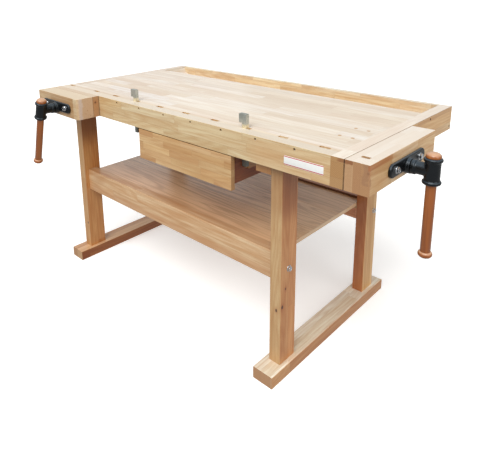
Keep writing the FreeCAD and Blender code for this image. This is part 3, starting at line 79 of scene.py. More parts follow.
class Tree:
    """Thin wrapper that adds nodes to a material and links sockets or numbers to them."""

    EDGE_ROUNDING = 0.0008    # metres

    def __init__(self, name):
        self.mat = bpy.data.materials.new(name)
        self.mat.use_nodes = True
        self.nt = self.mat.node_tree
        self.shader = self.nt.nodes["Principled BSDF"]
        self.coord = self.nt.nodes.new("ShaderNodeTexCoord")

    def put(self, socket, value):
        if isinstance(value, bpy.types.NodeSocket):
            self.nt.links.new(value, socket)
        elif value is not None:
            socket.default_value = value

    def math(self, op, a, b=None):
        n = self.nt.nodes.new("ShaderNodeMath")
        n.operation = op
        for socket, value in zip(n.inputs, (a, b)):
            self.put(socket, value)
        return n.outputs[0]

    def add(self, a, b):
        return self.math("ADD", a, b)

    def subtract(self, a, b):
        return self.math("SUBTRACT", a, b)

    def mul(self, a, b):
        return self.math("MULTIPLY", a, b)

    def zigzag(self, value, turn):
        """A value that climbs from zero to turn and back again, over and over."""
        return self.math("PINGPONG", value, turn)

    def vector(self, x, y, z):
        n = self.nt.nodes.new("ShaderNodeCombineXYZ")
        for socket, value in zip(n.inputs, (x, y, z)):
            self.put(socket, value)
        return n.outputs[0]

    def split(self, vector):
        n = self.nt.nodes.new("ShaderNodeSeparateXYZ")
        self.put(n.inputs[0], vector)
        return n.outputs

    def place(self):
        """The place on the object, in metres."""
        return self.coord.outputs["Object"]

    def facing(self):
        """How far the surface faces each of the three axes."""
        return self.split(self.coord.outputs["Normal"])

    def vmath(self, op, a, b=None, scale=None):
        n = self.nt.nodes.new("ShaderNodeVectorMath")
        n.operation = op
        self.put(n.inputs[0], a)
        if b is not None:
            self.put(n.inputs[1], b)
        if scale is not None:
            self.put(n.inputs[3], scale)
        return n.outputs["Value"] if op in ("LENGTH", "DOT_PRODUCT") else n.outputs[0]

    def noise(self, vector, scale=1.0, detail=2.0, rough=0.5, distort=0.0):
        n = self.nt.nodes.new("ShaderNodeTexNoise")
        self.put(n.inputs["Vector"], vector)
        n.inputs["Scale"].default_value = scale
        n.inputs["Detail"].default_value = detail
        n.inputs["Roughness"].default_value = rough
        n.inputs["Distortion"].default_value = distort
        return n.outputs["Fac"]

    def random(self, vector):
        """A number and a colour that are fixed for each vector."""
        n = self.nt.nodes.new("ShaderNodeTexWhiteNoise")
        n.noise_dimensions = "3D"
        self.put(n.inputs["Vector"], vector)
        return n.outputs["Value"], n.outputs["Color"]

    def ramp(self, fac, stops):
        n = self.nt.nodes.new("ShaderNodeValToRGB")
        elements = n.color_ramp.elements
        while len(elements) < len(stops):
            elements.new(0.5)
        for element, (position, colour) in zip(elements, stops):
            element.position = position
            element.color = colour
        self.put(n.inputs[0], fac)
        return n.outputs[0]

    def span(self, value, low, high, to_low=0.0, to_high=1.0, smooth=True):
        """Map low to high onto to_low to to_high, and stay at the ends outside it."""
        n = self.nt.nodes.new("ShaderNodeMapRange")
        n.interpolation_type = "SMOOTHSTEP" if smooth else "LINEAR"
        n.inputs[1].default_value = low
        n.inputs[2].default_value = high
        n.inputs[3].default_value = to_low
        n.inputs[4].default_value = to_high
        self.put(n.inputs[0], value)
        return n.outputs[0]

    def mix(self, fac, a, b, mode="MIX"):
        n = self.nt.nodes.new("ShaderNodeMix")
        n.data_type = "RGBA"
        n.blend_type = mode
        self.put(n.inputs[0], fac)
        self.put(n.inputs[6], a)
        self.put(n.inputs[7], b)
        return n.outputs[2]

    def multiply(self, a, b):
        """One colour times another."""
        return self.mix(1.0, a, b, "MULTIPLY")

    def bump(self, height, strength, distance):
        """Relief of the surface, over edges that look slightly rounded."""
        n = self.nt.nodes.new("ShaderNodeBump")
        n.inputs["Strength"].default_value = strength
        n.inputs["Distance"].default_value = distance
        self.put(n.inputs["Height"], height)
        edge = self.nt.nodes.new("ShaderNodeBevel")
        edge.samples = 4
        edge.inputs["Radius"].default_value = self.EDGE_ROUNDING
        self.nt.links.new(edge.outputs[0], n.inputs["Normal"])
        self.nt.links.new(n.outputs[0], self.shader.inputs["Normal"])

    def finish(self, colour, roughness, metallic=0.0, coat=0.0, coat_rough=0.1, specular=0.5):
        self.put(self.shader.inputs["Base Color"], colour)
        self.put(self.shader.inputs["Roughness"], roughness)
        self.shader.inputs["Metallic"].default_value = metallic
        self.shader.inputs["Coat Weight"].default_value = coat
        self.shader.inputs["Coat Roughness"].default_value = coat_rough
        self.shader.inputs["Specular IOR Level"].default_value = specular
        return self.mat


# ---------------------------------------------------------------- wood

CREAM = srgb(243, 224, 188)
LIGHT = srgb(233, 206, 160)
HONEY = srgb(222, 187, 135)
TAN = srgb(208, 165, 112)
AMBER = srgb(190, 140, 88)
RED = srgb(170, 112, 68)
BROWN = srgb(140, 86, 50)
DEEP = srgb(105, 62, 38)
GRAIN_SHADE = srgb(214, 178, 140)
END_SHADE = srgb(236, 222, 206)
RING_SHADE = srgb(190, 150, 120)
KNOT_HEART = srgb(58, 34, 24)

# noise scales as (along the grain, across it)
FIGURE_SCALE = (2.2, 26.0)
STREAK_SCALE = (9.0, 190.0)
PORE_SCALE = (90.0, 1500.0)
CONTOUR_SCALE = (1.1, 9.0)
CONTOUR_LINES = 16.0
OWN_PLACE = 7.0               # how far apart two blocks read the noise
STRIP_DRAW = 3.7              # keeps the draw for a strip apart from the draws for its blocks

# lengths in metres
FAR = 10.0                    # strips and blocks are counted from this far outside the bench
FINGER = 0.0035
GLUE_LINE = 0.0007
RING_WIDTH = 0.0022
RING_SHIFT = 0.08             # how far the heart of the rings moves from block to block
RAGGED_EDGE = 0.02
SHARP_EDGE = 0.001            # a patch that fades over no more than this has a straight edge

GLUE_DARKNESS = 0.35
OILED_ROUGHNESS = 0.36

# how squarely a face looks along an axis: where a change starts and where it is complete
MOSTLY = (0.60, 0.85)
SQUARELY = (0.80, 0.97)


def grain_place(t, axes, scale, away):
    """Where a block reads its noise, drawn out along the grain."""
    u, v, w = axes
    along, across = scale
    return t.vmath("ADD", t.vector(t.mul(u, along), t.mul(v, across), t.mul(w, across)), away)


def count_blocks(t, u, v, strip, block, seed, shift):
    """Places counted along and across the strips, and a number and a colour for each block."""
    v_at = t.add(v, FAR + shift)
    strip_id = t.math("FLOOR", t.math("DIVIDE", v_at, strip))
    strip_random = t.random(t.vector(strip_id, seed, STRIP_DRAW))[0]
    fingers = t.zigzag(v_at, FINGER)
    u_at = t.add(t.add(t.add(u, FAR), fingers), t.mul(strip_random, block))
    block_id = t.math("FLOOR", t.math("DIVIDE", u_at, block))
    block_random, block_colour = t.random(t.vector(strip_id, block_id, seed))
    return u_at, v_at, block_random, block_colour


def own_shade(t, jitter):
    """A factor that makes each block a little lighter or darker, warmer or cooler."""
    level = t.add(0.94, t.mul(jitter[Y], 0.12))
    hue = t.subtract(jitter[Z], 0.5)
    return t.vector(level, t.add(level, t.mul(hue, 0.035)), t.add(level, t.mul(hue, 0.13)))


def end_grain(t, axes, tone, jitter, long_figure):
    """Growth rings and pores on the faces that the fibres meet."""
    u, v, w = axes
    ring_at = t.vector(t.add(v, t.mul(jitter[X], RING_SHIFT)), t.add(w, t.mul(jitter[Z], RING_SHIFT)), 0.0)
    reach = t.add(t.vmath("LENGTH", ring_at), t.mul(long_figure, 0.004))
    rings = t.span(t.zigzag(reach, RING_WIDTH), 0.0, RING_WIDTH)
    speckle = t.span(t.noise(t.vector(u, v, w), scale=1100.0, detail=1.0), 0.5, 0.7)
    end = t.multiply(tone, END_SHADE)
    end = t.mix(t.mul(rings, 0.35), end, t.multiply(end, RING_SHADE))
    return t.mix(t.mul(speckle, 0.35), end, BROWN)


def glue_lines(t, u_at, v_at, strip, block, is_end):
    """Thin lines between the strips, and at the fingers where the face isn't end grain."""
    line_v = t.span(t.zigzag(v_at, strip / 2), 0.0, GLUE_LINE, 1.0, 0.0)
    line_u = t.span(t.zigzag(u_at, block / 2), 0.0, GLUE_LINE, 1.0, 0.0)
    line_u = t.mul(line_u, t.subtract(1.0, is_end))
    return t.math("MAXIMUM", line_v, line_u)


def add_knot(t, body, grain, streaks, centre, radius):
    """A dark heart with a reddish halo, drawn out a little along the grain."""
    sides = list(t.split(t.vmath("SUBTRACT", t.place(), centre)))
    sides[grain] = t.mul(sides[grain], 0.6)
    reach = t.vmath("LENGTH", t.vector(*sides))
    wobble = t.mul(t.subtract(streaks, 0.5), radius * 0.9)
    reach = t.add(reach, wobble)
    body = t.mix(t.span(reach, radius * 0.4, radius * 2.6, 0.55, 0.0), body, RED)
    return t.mix(t.span(reach, radius * 0.5, radius * 0.95, 0.9, 0.0), body, KNOT_HEART)


def patch_mask(t, xyz, normal, ragged, low, high, strength, soft, skip):
    """Strength of a patch at each place: full inside its box, fading outside it."""
    mask = strength
    if skip is not None:
        mask = t.mul(t.span(t.math("ABSOLUTE", normal[skip]), *MOSTLY, 1.0, 0.0), mask)
    for value, start, end, fade in zip(xyz, low, high, soft):
        value = t.add(value, ragged) if fade > SHARP_EDGE else value
        mask = t.mul(t.span(value, start - fade, start), mask)
        mask = t.mul(t.span(value, end, end + fade, 1.0, 0.0), mask)
    return mask


def wood(name, grain, across, strip, block, tones, seed, figure=0.5, stripe=0.0, shift=0.0,
         coat=0.35, tint=(1.0, 1.0, 1.0), calm=0.0, faces=(), patches=(), knots=()):
    """Finger-jointed strips: grain runs along one axis, strips repeat across another.

    strip and block are the width and length of the pieces in metres, and shift moves the strips.
    figure and stripe deepen the grain, tint colours all, partly as the part's own colour and partly as
    painted light or shade for how lit the part is, and calm evens out the face on top.
    faces are (axis, sign, tint): painted light and shade that makes a face turned that way lighter, paler or
    darker for how light falls on it. patches come from patch(), and knots are (place, radius).
    """
    t = Tree(name)
    xyz = t.split(t.place())
    other = X + Y + Z - grain - across
    axes = (xyz[grain], xyz[across], xyz[other])
    u_at, v_at, block_random, block_colour = count_blocks(t, *axes[:2], strip, block, seed, shift)
    jitter = t.split(block_colour)

    # grain: long figure, fine streaks, pores and slow contour lines
    away = t.vmath("SCALE", block_colour, scale=OWN_PLACE)
    long_figure = t.noise(grain_place(t, axes, FIGURE_SCALE, away), detail=3.0, rough=0.6, distort=0.35)
    streaks = t.noise(grain_place(t, axes, STREAK_SCALE, away), detail=2.0, rough=0.55)
    pores = t.span(t.noise(grain_place(t, axes, PORE_SCALE, away), detail=1.0), 0.60, 0.72)
    contour = t.noise(grain_place(t, axes, CONTOUR_SCALE, away), detail=1.5, distort=0.2)
    contour = t.zigzag(t.mul(contour, CONTOUR_LINES), 0.5)
    contour = t.span(contour, 0.0, 0.5)

    tones = [(c[0] * tint[0], c[1] * tint[1], c[2] * tint[2], 1.0) for c in tones]
    tone = t.ramp(block_random, [(i / (len(tones) - 1), c) for i, c in enumerate(tones)])
    dark = t.multiply(tone, GRAIN_SHADE)
    body = t.mix(t.mul(t.span(long_figure, 0.38, 0.72), figure), tone, dark)
    body = t.mix(t.mul(contour, 0.30 + stripe), body, dark)
    body = t.mix(t.mul(t.span(streaks, 0.45, 0.75), 0.30 + 0.4 * figure), body, dark)
    body = t.mix(t.mul(pores, 0.30), body, BROWN)
    body = t.multiply(body, own_shade(t, jitter))

    is_end = t.span(t.math("ABSOLUTE", t.facing()[grain]), *MOSTLY)
    body = t.mix(is_end, body, end_grain(t, axes, tone, jitter, long_figure))
    lines = glue_lines(t, u_at, v_at, strip, block, is_end)
    body = t.mix(t.mul(lines, GLUE_DARKNESS), body, DEEP)
    for centre, radius in knots:
        body = add_knot(t, body, grain, streaks, centre, radius)

    normal = t.facing()
    ragged = t.mul(t.subtract(long_figure, 0.5), RAGGED_EDGE)
    # patches: boards, bands and stains of their own colour, and painted light and shade
    for low, high, colour, strength, soft, skip in patches:
        mask = patch_mask(t, xyz, normal, ragged, low, high, strength, soft, skip)
        grained = t.mix(t.mul(streaks, 0.5), colour, t.multiply(colour, dark))
        body = t.mix(mask, body, grained)

    # the faces on top evened out towards the middle tone; then painted light and shade, each face turned
    # along an axis multiplied by its tint for how light falls on it
    if calm:
        middle = tones[len(tones) // 2]
        body = t.mix(t.span(normal[Z], *SQUARELY, 0.0, calm), body, middle)
    for axis, sign, painted_light_tint in faces:
        squarely = t.span(t.mul(normal[axis], sign), *SQUARELY)
        body = t.mix(squarely, body, (*painted_light_tint, 1.0), "MULTIPLY")

    rough = t.add(OILED_ROUGHNESS, t.mul(streaks, 0.14))
    height = t.add(t.mul(streaks, 0.5), t.add(t.mul(pores, -0.5), t.mul(lines, -1.0)))
    t.bump(height, 0.35, 0.0002)
    return t.finish(body, rough, coat=coat, coat_rough=0.14)


SHELF_LIGHT = srgb(232, 197, 159)
SHELF_MID = srgb(213, 172, 132)
SHELF_LINE = srgb(140, 98, 66)
SHELF_STREAK = srgb(124, 88, 62)
SHELF_END = srgb(206, 172, 136)
SHELF_LIT_RIGHT = srgb(240, 206, 164)
SHELF_FRONT = srgb(236, 180, 126)


def shelf_wood(name, seed):
    """Oiled boards with long, dark growth lines, painted lighter to the right where more light reaches under
    the top, and redder to the front.
    """
    t = Tree(name)
    u, v, w = t.split(t.place())
    spot = t.vector(t.add(u, seed), t.mul(v, 14.0), t.mul(w, 14.0))
    warp = t.noise(spot, detail=2.0, distort=0.5)
    lines = t.zigzag(t.mul(t.add(t.mul(v, 2.4), warp), 9.0), 0.5)
    lines = t.span(lines, 0.18, 0.5)
    fine = t.noise(t.vector(t.mul(u, 7.0), t.mul(v, 260.0), t.mul(w, 260.0)), detail=3.0, rough=0.6)
    slow = t.noise(t.vector(t.mul(u, 1.6), t.mul(v, 5.0), seed), detail=2.0)
    pores = t.span(t.noise(t.vector(t.mul(u, 80.0), t.mul(v, 1500.0), t.mul(w, 1500.0))), 0.58, 0.7)
    colour = t.mix(t.span(slow, 0.35, 0.65), SHELF_LIGHT, SHELF_MID)
    colour = t.mix(t.mul(lines, 0.60), colour, SHELF_LINE)
    colour = t.mix(t.mul(t.span(fine, 0.42, 0.72), 0.50), colour, SHELF_STREAK)
    colour = t.mix(t.mul(pores, 0.4), colour, DEEP)
    is_end = t.span(t.math("ABSOLUTE", t.facing()[X]), *MOSTLY)
    colour = t.mix(is_end, colour, SHELF_END)
    # painted light: the boards lighter towards the right
    colour = t.mix(t.span(u, 0.0, 0.40, 0.0, 0.46), colour, SHELF_LIT_RIGHT)
    colour = t.mix(t.span(v, -0.20, 0.02, 0.36, 0.0), colour, SHELF_FRONT)
    t.bump(t.add(fine, t.mul(pores, -0.6)), 0.4, 0.0002)
    return t.finish(colour, t.add(0.30, t.mul(fine, 0.2)), coat=0.8, coat_rough=0.2)


HANDLE_TONES = (srgb(172, 104, 46), srgb(155, 87, 33), srgb(137, 72, 25))
HANDLE_FIBRES = srgb(107, 54, 18)
HANDLE_SHEEN = srgb(222, 180, 146)
TOOL_RING = 0.0009


def turned_wood(name, axis, seed):
    """Turned handle wood: grain along the handle, faint tool rings around it, and a painted highlight on the
    parts that look up.
    """
    t = Tree(name)
    along = t.vmath("DOT_PRODUCT", t.place(), axis)
    flat = t.vmath("SUBTRACT", t.place(), t.vmath("SCALE", axis, scale=along))

    def drawn_out(across_scale, along_scale):
        across = t.vmath("SCALE", flat, scale=across_scale)
        return t.vmath("ADD", across, t.vmath("SCALE", axis, scale=t.mul(along, along_scale)))

    fibres = t.noise(drawn_out(170.0, 9.0), detail=3.0, rough=0.6)
    figure = t.noise(t.vmath("ADD", drawn_out(42.0, 2.0), (seed, seed, seed)), detail=3.0, distort=0.5)
    rings = t.span(t.zigzag(along, TOOL_RING), 0.0, TOOL_RING)
    colour = t.ramp(figure, list(zip((0.30, 0.52, 0.72), HANDLE_TONES)))
    colour = t.mix(t.mul(t.span(fibres, 0.45, 0.75), 0.45), colour, HANDLE_FIBRES)
    is_end = t.math("ABSOLUTE", t.vmath("DOT_PRODUCT", t.coord.outputs["Normal"], axis))
    colour = t.mix(t.mul(t.span(is_end, 0.75, 0.98), 0.35), colour, HANDLE_FIBRES)
    # painted highlight on the parts that look up, broken by the fibres
    upward = t.span(t.facing()[Z], 0.25, 0.95, 0.0, 0.8)
    colour = t.mix(t.mul(upward, t.span(fibres, 0.2, 0.6, 0.7, 1.0)), colour, HANDLE_SHEEN)
    t.bump(t.add(t.mul(fibres, 0.6), t.mul(rings, 0.3)), 0.3, 0.0002)
    return t.finish(colour, t.add(0.28, t.mul(fibres, 0.15)), coat=0.4, coat_rough=0.1)


# ---------------------------------------------------------------- metals and paint

PAINT_DARK = srgb(10, 11, 12)
PAINT_LIGHT = srgb(18, 19, 21)
PAINT_WORN = srgb(70, 74, 78)
PAINT_SHEEN = srgb(74, 86, 96)
COOL_GLOSS = (0.80, 0.92, 1.0, 1.0)


def cast_paint(name):
    """Black gloss paint over a slightly uneven sand casting, with a painted slate-blue reflection on the
    faces that look up.
    """
    t = Tree(name)
    lumps = t.noise(t.place(), scale=160.0, detail=3.0, rough=0.6)
    grit = t.noise(t.place(), scale=900.0, detail=2.0)
    cloud = t.noise(t.place(), scale=14.0, detail=2.0)
    worn = t.span(t.noise(t.place(), scale=70.0, detail=4.0, rough=0.7), 0.70, 0.76)
    colour = t.mix(t.span(cloud, 0.3, 0.7), PAINT_DARK, PAINT_LIGHT)
    colour = t.mix(t.mul(worn, 0.25), colour, PAINT_WORN)
    # painted reflection: the faces that look up take a slate-blue sheen
    upward = t.span(t.facing()[Z], 0.30, 0.95, 0.0, 0.65)
    colour = t.mix(upward, colour, PAINT_SHEEN)
    rough = t.add(0.19, t.mul(lumps, 0.14))
    t.bump(t.add(lumps, t.mul(grit, 0.35)), 0.45, 0.0006)
    t.shader.inputs["Specular Tint"].default_value = COOL_GLOSS
    return t.finish(colour, rough, coat=0.16, coat_rough=0.10, specular=0.32)


GRIME = srgb(96, 88, 78)
DULLER_METAL = srgb(120, 124, 120)
BRUSH_ALONG = 25.0            # noise scales along the brushing and across it
BRUSH_ACROSS = 1400.0


def steel(name, clean, dull, rough, axis, brushed, grime, reflection_band=None):
    """Steel with turning or brushing marks along one axis and a little grime.

    reflection_band is (fading, gone, colour) of a polished band painted in the cream of the wood it
    reflects: the heights where it starts to fade and where it is gone, with duller metal well below it.
    """
    t = Tree(name)
    xyz = t.split(t.place())
    scales = [BRUSH_ACROSS, BRUSH_ACROSS, BRUSH_ACROSS]
    scales[axis] = BRUSH_ALONG
    lines = t.noise(t.vector(*[t.mul(c, s) for c, s in zip(xyz, scales)]), detail=2.0)
    cloud = t.noise(t.place(), scale=38.0, detail=4.0, rough=0.6)
    colour = t.mix(t.span(cloud, 0.35, 0.7), clean, dull)
    spots = t.span(t.noise(t.place(), scale=230.0, detail=3.0), 0.62, 0.75)
    colour = t.mix(t.mul(spots, grime), colour, GRIME)
    if reflection_band:
        fading, gone, bright = reflection_band
        duller = t.span(xyz[Z], fading - 0.10, fading - 0.03, 0.85, 0.0)
        colour = t.mix(duller, colour, DULLER_METAL)
        # painted reflection: the cream of the wood on the polished band just above the top
        upper_end = t.span(xyz[Z], fading, gone, 0.9, 0.0)
        lower_end = t.span(xyz[Z], fading - 0.016, fading - 0.008)
        colour = t.mix(t.mul(upper_end, lower_end), colour, bright)
    roughness = t.add(rough, t.add(t.mul(lines, 0.18 * brushed), t.mul(spots, 0.25)))
    t.bump(lines, 0.25 * brushed, 0.0001)
    return t.finish(colour, roughness, metallic=1.0)


PLATE_WHITE = srgb(250, 250, 247)
PLATE_SHADE = srgb(236, 236, 232)
PLATE_RED = srgb(196, 40, 38)
PLATE_RIM = srgb(244, 243, 240)
PLATE_SCUFF = srgb(170, 160, 148)

# the sides of the plate's red lines, in metres from the plate's edge
LINE_OUTER = 0.0010
LINE_INNER = 0.0034
LINE_BLUR = 0.0002


def plate_paint(name, low, high):
    """White plate with a red line near its upper and lower edges, and nothing on it."""
    t = Tree(name)
    xyz = t.split(t.place())
    middle = (low[Z] + high[Z]) / 2
    half = (high[Z] - low[Z]) / 2
    off = t.math("ABSOLUTE", t.subtract(xyz[Z], middle))
    band = t.span(off, half - LINE_INNER - LINE_BLUR, half - LINE_INNER, smooth=False)
    rim = t.span(off, half - LINE_OUTER - LINE_BLUR, half - LINE_OUTER, smooth=False)
    mottle = t.noise(t.place(), scale=120.0, detail=3.0)
    scuff = t.noise(t.vector(t.mul(xyz[X], 60.0), 0.0, t.mul(xyz[Z], 420.0)), detail=3.0)
    scuff = t.span(scuff, 0.62, 0.75)
    white = t.mix(mottle, PLATE_SHADE, PLATE_WHITE)
    colour = t.mix(band, white, PLATE_RED)
    colour = t.mix(rim, colour, PLATE_RIM)
    colour = t.mix(t.mul(scuff, 0.12), colour, PLATE_SCUFF)
    t.bump(mottle, 0.1, 0.0001)
    return t.finish(colour, t.add(0.3, t.mul(mottle, 0.1)), coat=0.3)


# ---------------------------------------------------------------- dressing the CAD nodes

def dress(node, mat):
    """Give a CAD node its finished material."""
    mesh = nodes[node].data
    mesh.materials.clear()
    mesh.materials.append(mat)
    for polygon in mesh.polygons:
        polygon.material_index = 0


def dress_all(names, mat):
    """Give several CAD nodes one material."""
    for name in names:
        dress(name, mat)


def plank(node, material, grain, across, strip, block, tones, seed, **looks):
    """Dress a wooden CAD node in a wood of its own."""
    dress(node, wood(material, grain, across, strip, block, tones, seed, **looks))


def patch(low, high, colour, strength, soft, skip=None):
    """A stain, a darker board or band, or painted light or shade such as a shadow or a shadow line in a
    joint, in a box given on the bench's own axes in millimetres.

    soft is how far it fades along each axis, and faces square to the skip axis stay plain.
    """
    return (on_bench(*low), on_bench(*high), colour, strength, [value / 1000 for value in soft], skip)


TOP_TONES = [CREAM, LIGHT, CREAM, HONEY, LIGHT]
MID_TONES = [LIGHT, HONEY, LIGHT, TAN, HONEY]
WARM_TONES = [HONEY, TAN, HONEY, AMBER, LIGHT]

# colours of single boards, bands and stains, and of painted light and shade
# painted shadow lines in the narrow joints between parts, and in the gap above the shelf
SHADOW_LINE = srgb(52, 32, 22)
BOARD_EDGE = srgb(150, 95, 56)
# painted light: the right stretch of the top lighter and warmer
PAINTED_TOP_LIGHT = srgb(250, 226, 176)
BLOCKS_LEFT = srgb(200, 158, 106)
APRON_LEFT = srgb(194, 152, 96)
APRON_RIGHT = srgb(228, 186, 136)
FIXED_JAW_END = srgb(184, 130, 86)
FRONT_JAW_PALE = srgb(208, 182, 158)
FRONT_JAW_WARM = srgb(196, 150, 104)
END_JAW_PALE = srgb(216, 180, 138)
END_JAW_WARM = srgb(180, 132, 90)
END_JAW_GREY = srgb(166, 126, 94)
END_JAW_RED = srgb(178, 112, 66)
# painted shadow at the tops of the front legs, under the top
RIGHT_LEG_SHADOW = srgb(158, 104, 60)
RIGHT_LEG_SIDE_SHADOW = srgb(158, 96, 46)
LEFT_LEG_SHADOW = srgb(112, 64, 38)
STRETCHER_LOW = srgb(196, 142, 96)

# A patch from UNDER to ABOVE takes in the whole height of the top's edges and the jaws, and one
# that ends at TOP_FACE leaves the face on top plain. IN_JAWS and PAST_JAWS lie on both sides of
# the right end of the front vise's wooden jaws.
UNDER = 740
ABOVE = 870
TOP_FACE = WORKING_HEIGHT - 1.4
IN_JAWS = FRONT_JAWS_END - 3
PAST_JAWS = FRONT_JAWS_END + 3

# The rows of the planks: node, material, grain axis, strip axis, width of a strip and length of
# a block in metres, tones, seed. Then the looks.
# In the looks below, face tints are painted light and shade, and each tint is partly the part's own colour
# and partly painted light or shade for how lit the part is.

# the top

# the top: painted lighter and warmer over its right stretch, and paler on its face through its face tint
plank("main_top", "slab", X, Y, 0.046, 0.42, TOP_TONES, 1.0, figure=0.40, stripe=0.08, calm=0.30,
      faces=[(Z, 1, (1.02, 1.18, 1.63))],
      patches=[patch((820, 60, 850), (1500, 800, ABOVE), PAINTED_TOP_LIGHT, 0.34, (320.0, 60.0, 1.0))])
plank("beam_lamination", "beam_inner", X, Z, 0.045, 0.36, TOP_TONES, 2.0, calm=0.45,
      faces=[(Z, 1, (1.05, 1.19, 1.61))])
plank("dog_hole_blocks", "beam_blocks", X, Z, 0.045, 0.1495, MID_TONES, 3.0, calm=0.45,
      faces=[(Z, 1, (1.09, 1.28, 1.8))],
      patches=[patch((-5, 40, 855), (300, 95, ABOVE), BLOCKS_LEFT, 0.85, (250.0, 2.0, 2.0), Y)])
# the apron: a painted shadow line in its joint with the fixed jaw
plank("apron", "apron_wood", X, Z, 0.030, 0.33, [LIGHT, HONEY, LIGHT, HONEY], 4.0, figure=0.40,
      calm=0.7, tint=(0.902, 0.989, 1.08),
      faces=[(Z, 1, (1.18, 1.28, 1.68))],
      patches=[patch((-5, -5, 855), (345, 44, ABOVE), APRON_LEFT, 0.90, (300.0, 2.0, 2.0), Y),
               patch((331, -5, UNDER), (334.5, 2, 880), SHADOW_LINE, 0.85, (0.5, 0.5, 0.5)),
               patch((1240, -5, UNDER), (1489, 4, 852), APRON_RIGHT, 0.30, (90.0, 4.0, 2.0))])
plank("left_end_cap", "left_cap", Y, Z, 0.045, 0.40, TOP_TONES, 5.0, calm=0.4,
      faces=[(Z, 1, (0.875, 0.946, 1.21))])
# the right end cap: a painted shadow line in its joint with the end jaw
plank("right_end_cap", "right_cap", Y, Z, 0.045, 0.40, MID_TONES, 6.0, calm=0.45,
      tint=(0.83, 0.823, 0.798),
      faces=[(Z, 1, (1.51, 1.98, 3.34)), (X, 1, (1.34, 1.4, 1.5))],
      patches=[patch((1505, -2, 849), (TOP_RIGHT_END, 3, TOP_FACE), BOARD_EDGE, 0.75, (4.0, 4.0, 0.6)),
               patch((1527.8, -5, UNDER), (1534, 900, ABOVE), SHADOW_LINE, 0.85, (0.3, 0.3, 0.3), X)])
plank("back_rail", "rail", X, Z, 0.045, 0.30, [HONEY, TAN, HONEY, TAN], 7.0, figure=0.6, calm=0.3,
      tint=(1.14, 1.51, 2.26),
      faces=[(Z, 1, (1.1, 1.2, 1.4))])
plank("tray_floor", "tray", X, Y, 0.060, 0.9, [LIGHT, CREAM], 8.0)
# the coves tinted paler: painted light
plank("tray_coves", "coves", Y, X, 0.05, 0.5, [CREAM, LIGHT], 9.0, figure=0.3, tint=(0.873, 1.02, 1.41))
plank("guide_block_dowels", "dowels", Z, X, 0.2, 0.3, [HONEY, TAN], 10.0, tint=(1.12, 1.22, 1.45))
plank("end_vise_guide_block", "guide_block", X, Y, 0.045, 0.3, MID_TONES, 11.0, calm=0.4,
      faces=[(Z, 1, (1.12, 1.38, 1.9))])

# the wooden jaws of the vises

plank("front_vise_fixed_jaw", "front_fixed", X, Z, 0.045, 0.21, MID_TONES, 12.0, calm=0.85,
      tint=(0.884, 0.838, 0.886),
      faces=[(Z, 1, (0.977, 1.05, 1.18))],
      knots=[(on_bench(FRONT_JAWS_END, -17, 834), 0.0062)],
      patches=[patch((IN_JAWS, -40, UNDER), (PAST_JAWS, 5, ABOVE), FIXED_JAW_END, 0.32, (1.0, 3.0, 1.0))])
plank("front_vise_jaw", "front_jaw", X, Y, 0.034, 0.19, MID_TONES, 13.0, calm=0.85,
      tint=(0.883, 0.975, 1.15),
      faces=[(X, 1, (1.19, 1.36, 1.7)), (Z, 1, (1.04, 1.01, 1.03))],
      patches=[patch((IN_JAWS, -100, UNDER), (PAST_JAWS, -84, ABOVE), FRONT_JAW_PALE, 0.60, (1.0, 5.0, 1.0)),
               patch((IN_JAWS, -77, UNDER), (PAST_JAWS, -20, ABOVE), FRONT_JAW_WARM, 0.60, (1.0, 9.0, 1.0))],
      knots=[(on_bench(FRONT_JAWS_END, -58, 806), 0.0022), (on_bench(FRONT_JAWS_END, -66, 792), 0.0016),
             (on_bench(FRONT_JAWS_END, -45, 782), 0.0018)])
# the end jaw: a painted shadow line in its joint with the end cap
plank("end_vise_jaw", "end_jaw", Y, X, 0.0265, 0.17, MID_TONES + [AMBER], 14.0, shift=0.009, calm=0.88,
      tint=(0.88, 0.894, 0.989),
      faces=[(Z, 1, (1.55, 2.26, 4.01)), (X, 1, (1.17, 1.12, 1.02))],
      patches=[patch((1530, -3, 849), (1555, 3, TOP_FACE), BOARD_EDGE, 0.75, (1.0, 4.0, 0.6)),
               patch((1557, -3, UNDER), (END_JAW_FACE, 3, TOP_FACE), END_JAW_WARM, 0.55, (0.8, 4.0, 0.6)),
               patch((1588, -3, 800), (1602, 3, TOP_FACE), END_JAW_GREY, 0.50, (5.0, 4.0, 0.6)),
               patch((1600, -3, 844), (1610, 100, TOP_FACE), END_JAW_RED, 0.65, (0.5, 60.0, 1.0)),
               patch((1531.5, -3, UNDER), (1555.5, 3, 846), END_JAW_PALE, 0.50, (0.8, 4.0, 3.0)),
               patch((1528, -5, UNDER), (1531.4, 900, ABOVE), SHADOW_LINE, 0.85, (0.3, 0.3, 0.3), X)],
      knots=[(on_bench(1601, 0, 836), 0.0045)])

# the stand

# the left foot: its inner side painted dark with shade from the bench above
plank("left_foot", "foot_l", Y, X, 0.041, 0.62, WARM_TONES, 15.0, shift=-0.0045,
      tint=(0.893, 0.857, 0.883),
      faces=[(X, 1, (0.515, 0.265, 0.118)), (Z, 1, (1.15, 1.25, 1.50)), (Y, -1, (1.05, 1.2, 1.4))])
plank("right_foot", "foot_r", Y, X, 0.041, 0.62, WARM_TONES, 16.0, shift=0.0005,
      tint=(0.874, 0.828, 0.826),
      faces=[(X, 1, (1.02, 0.86, 0.74)), (Z, 1, (1.54, 2.39, 4.29)), (Y, -1, (1.0, 1.1, 1.4))])
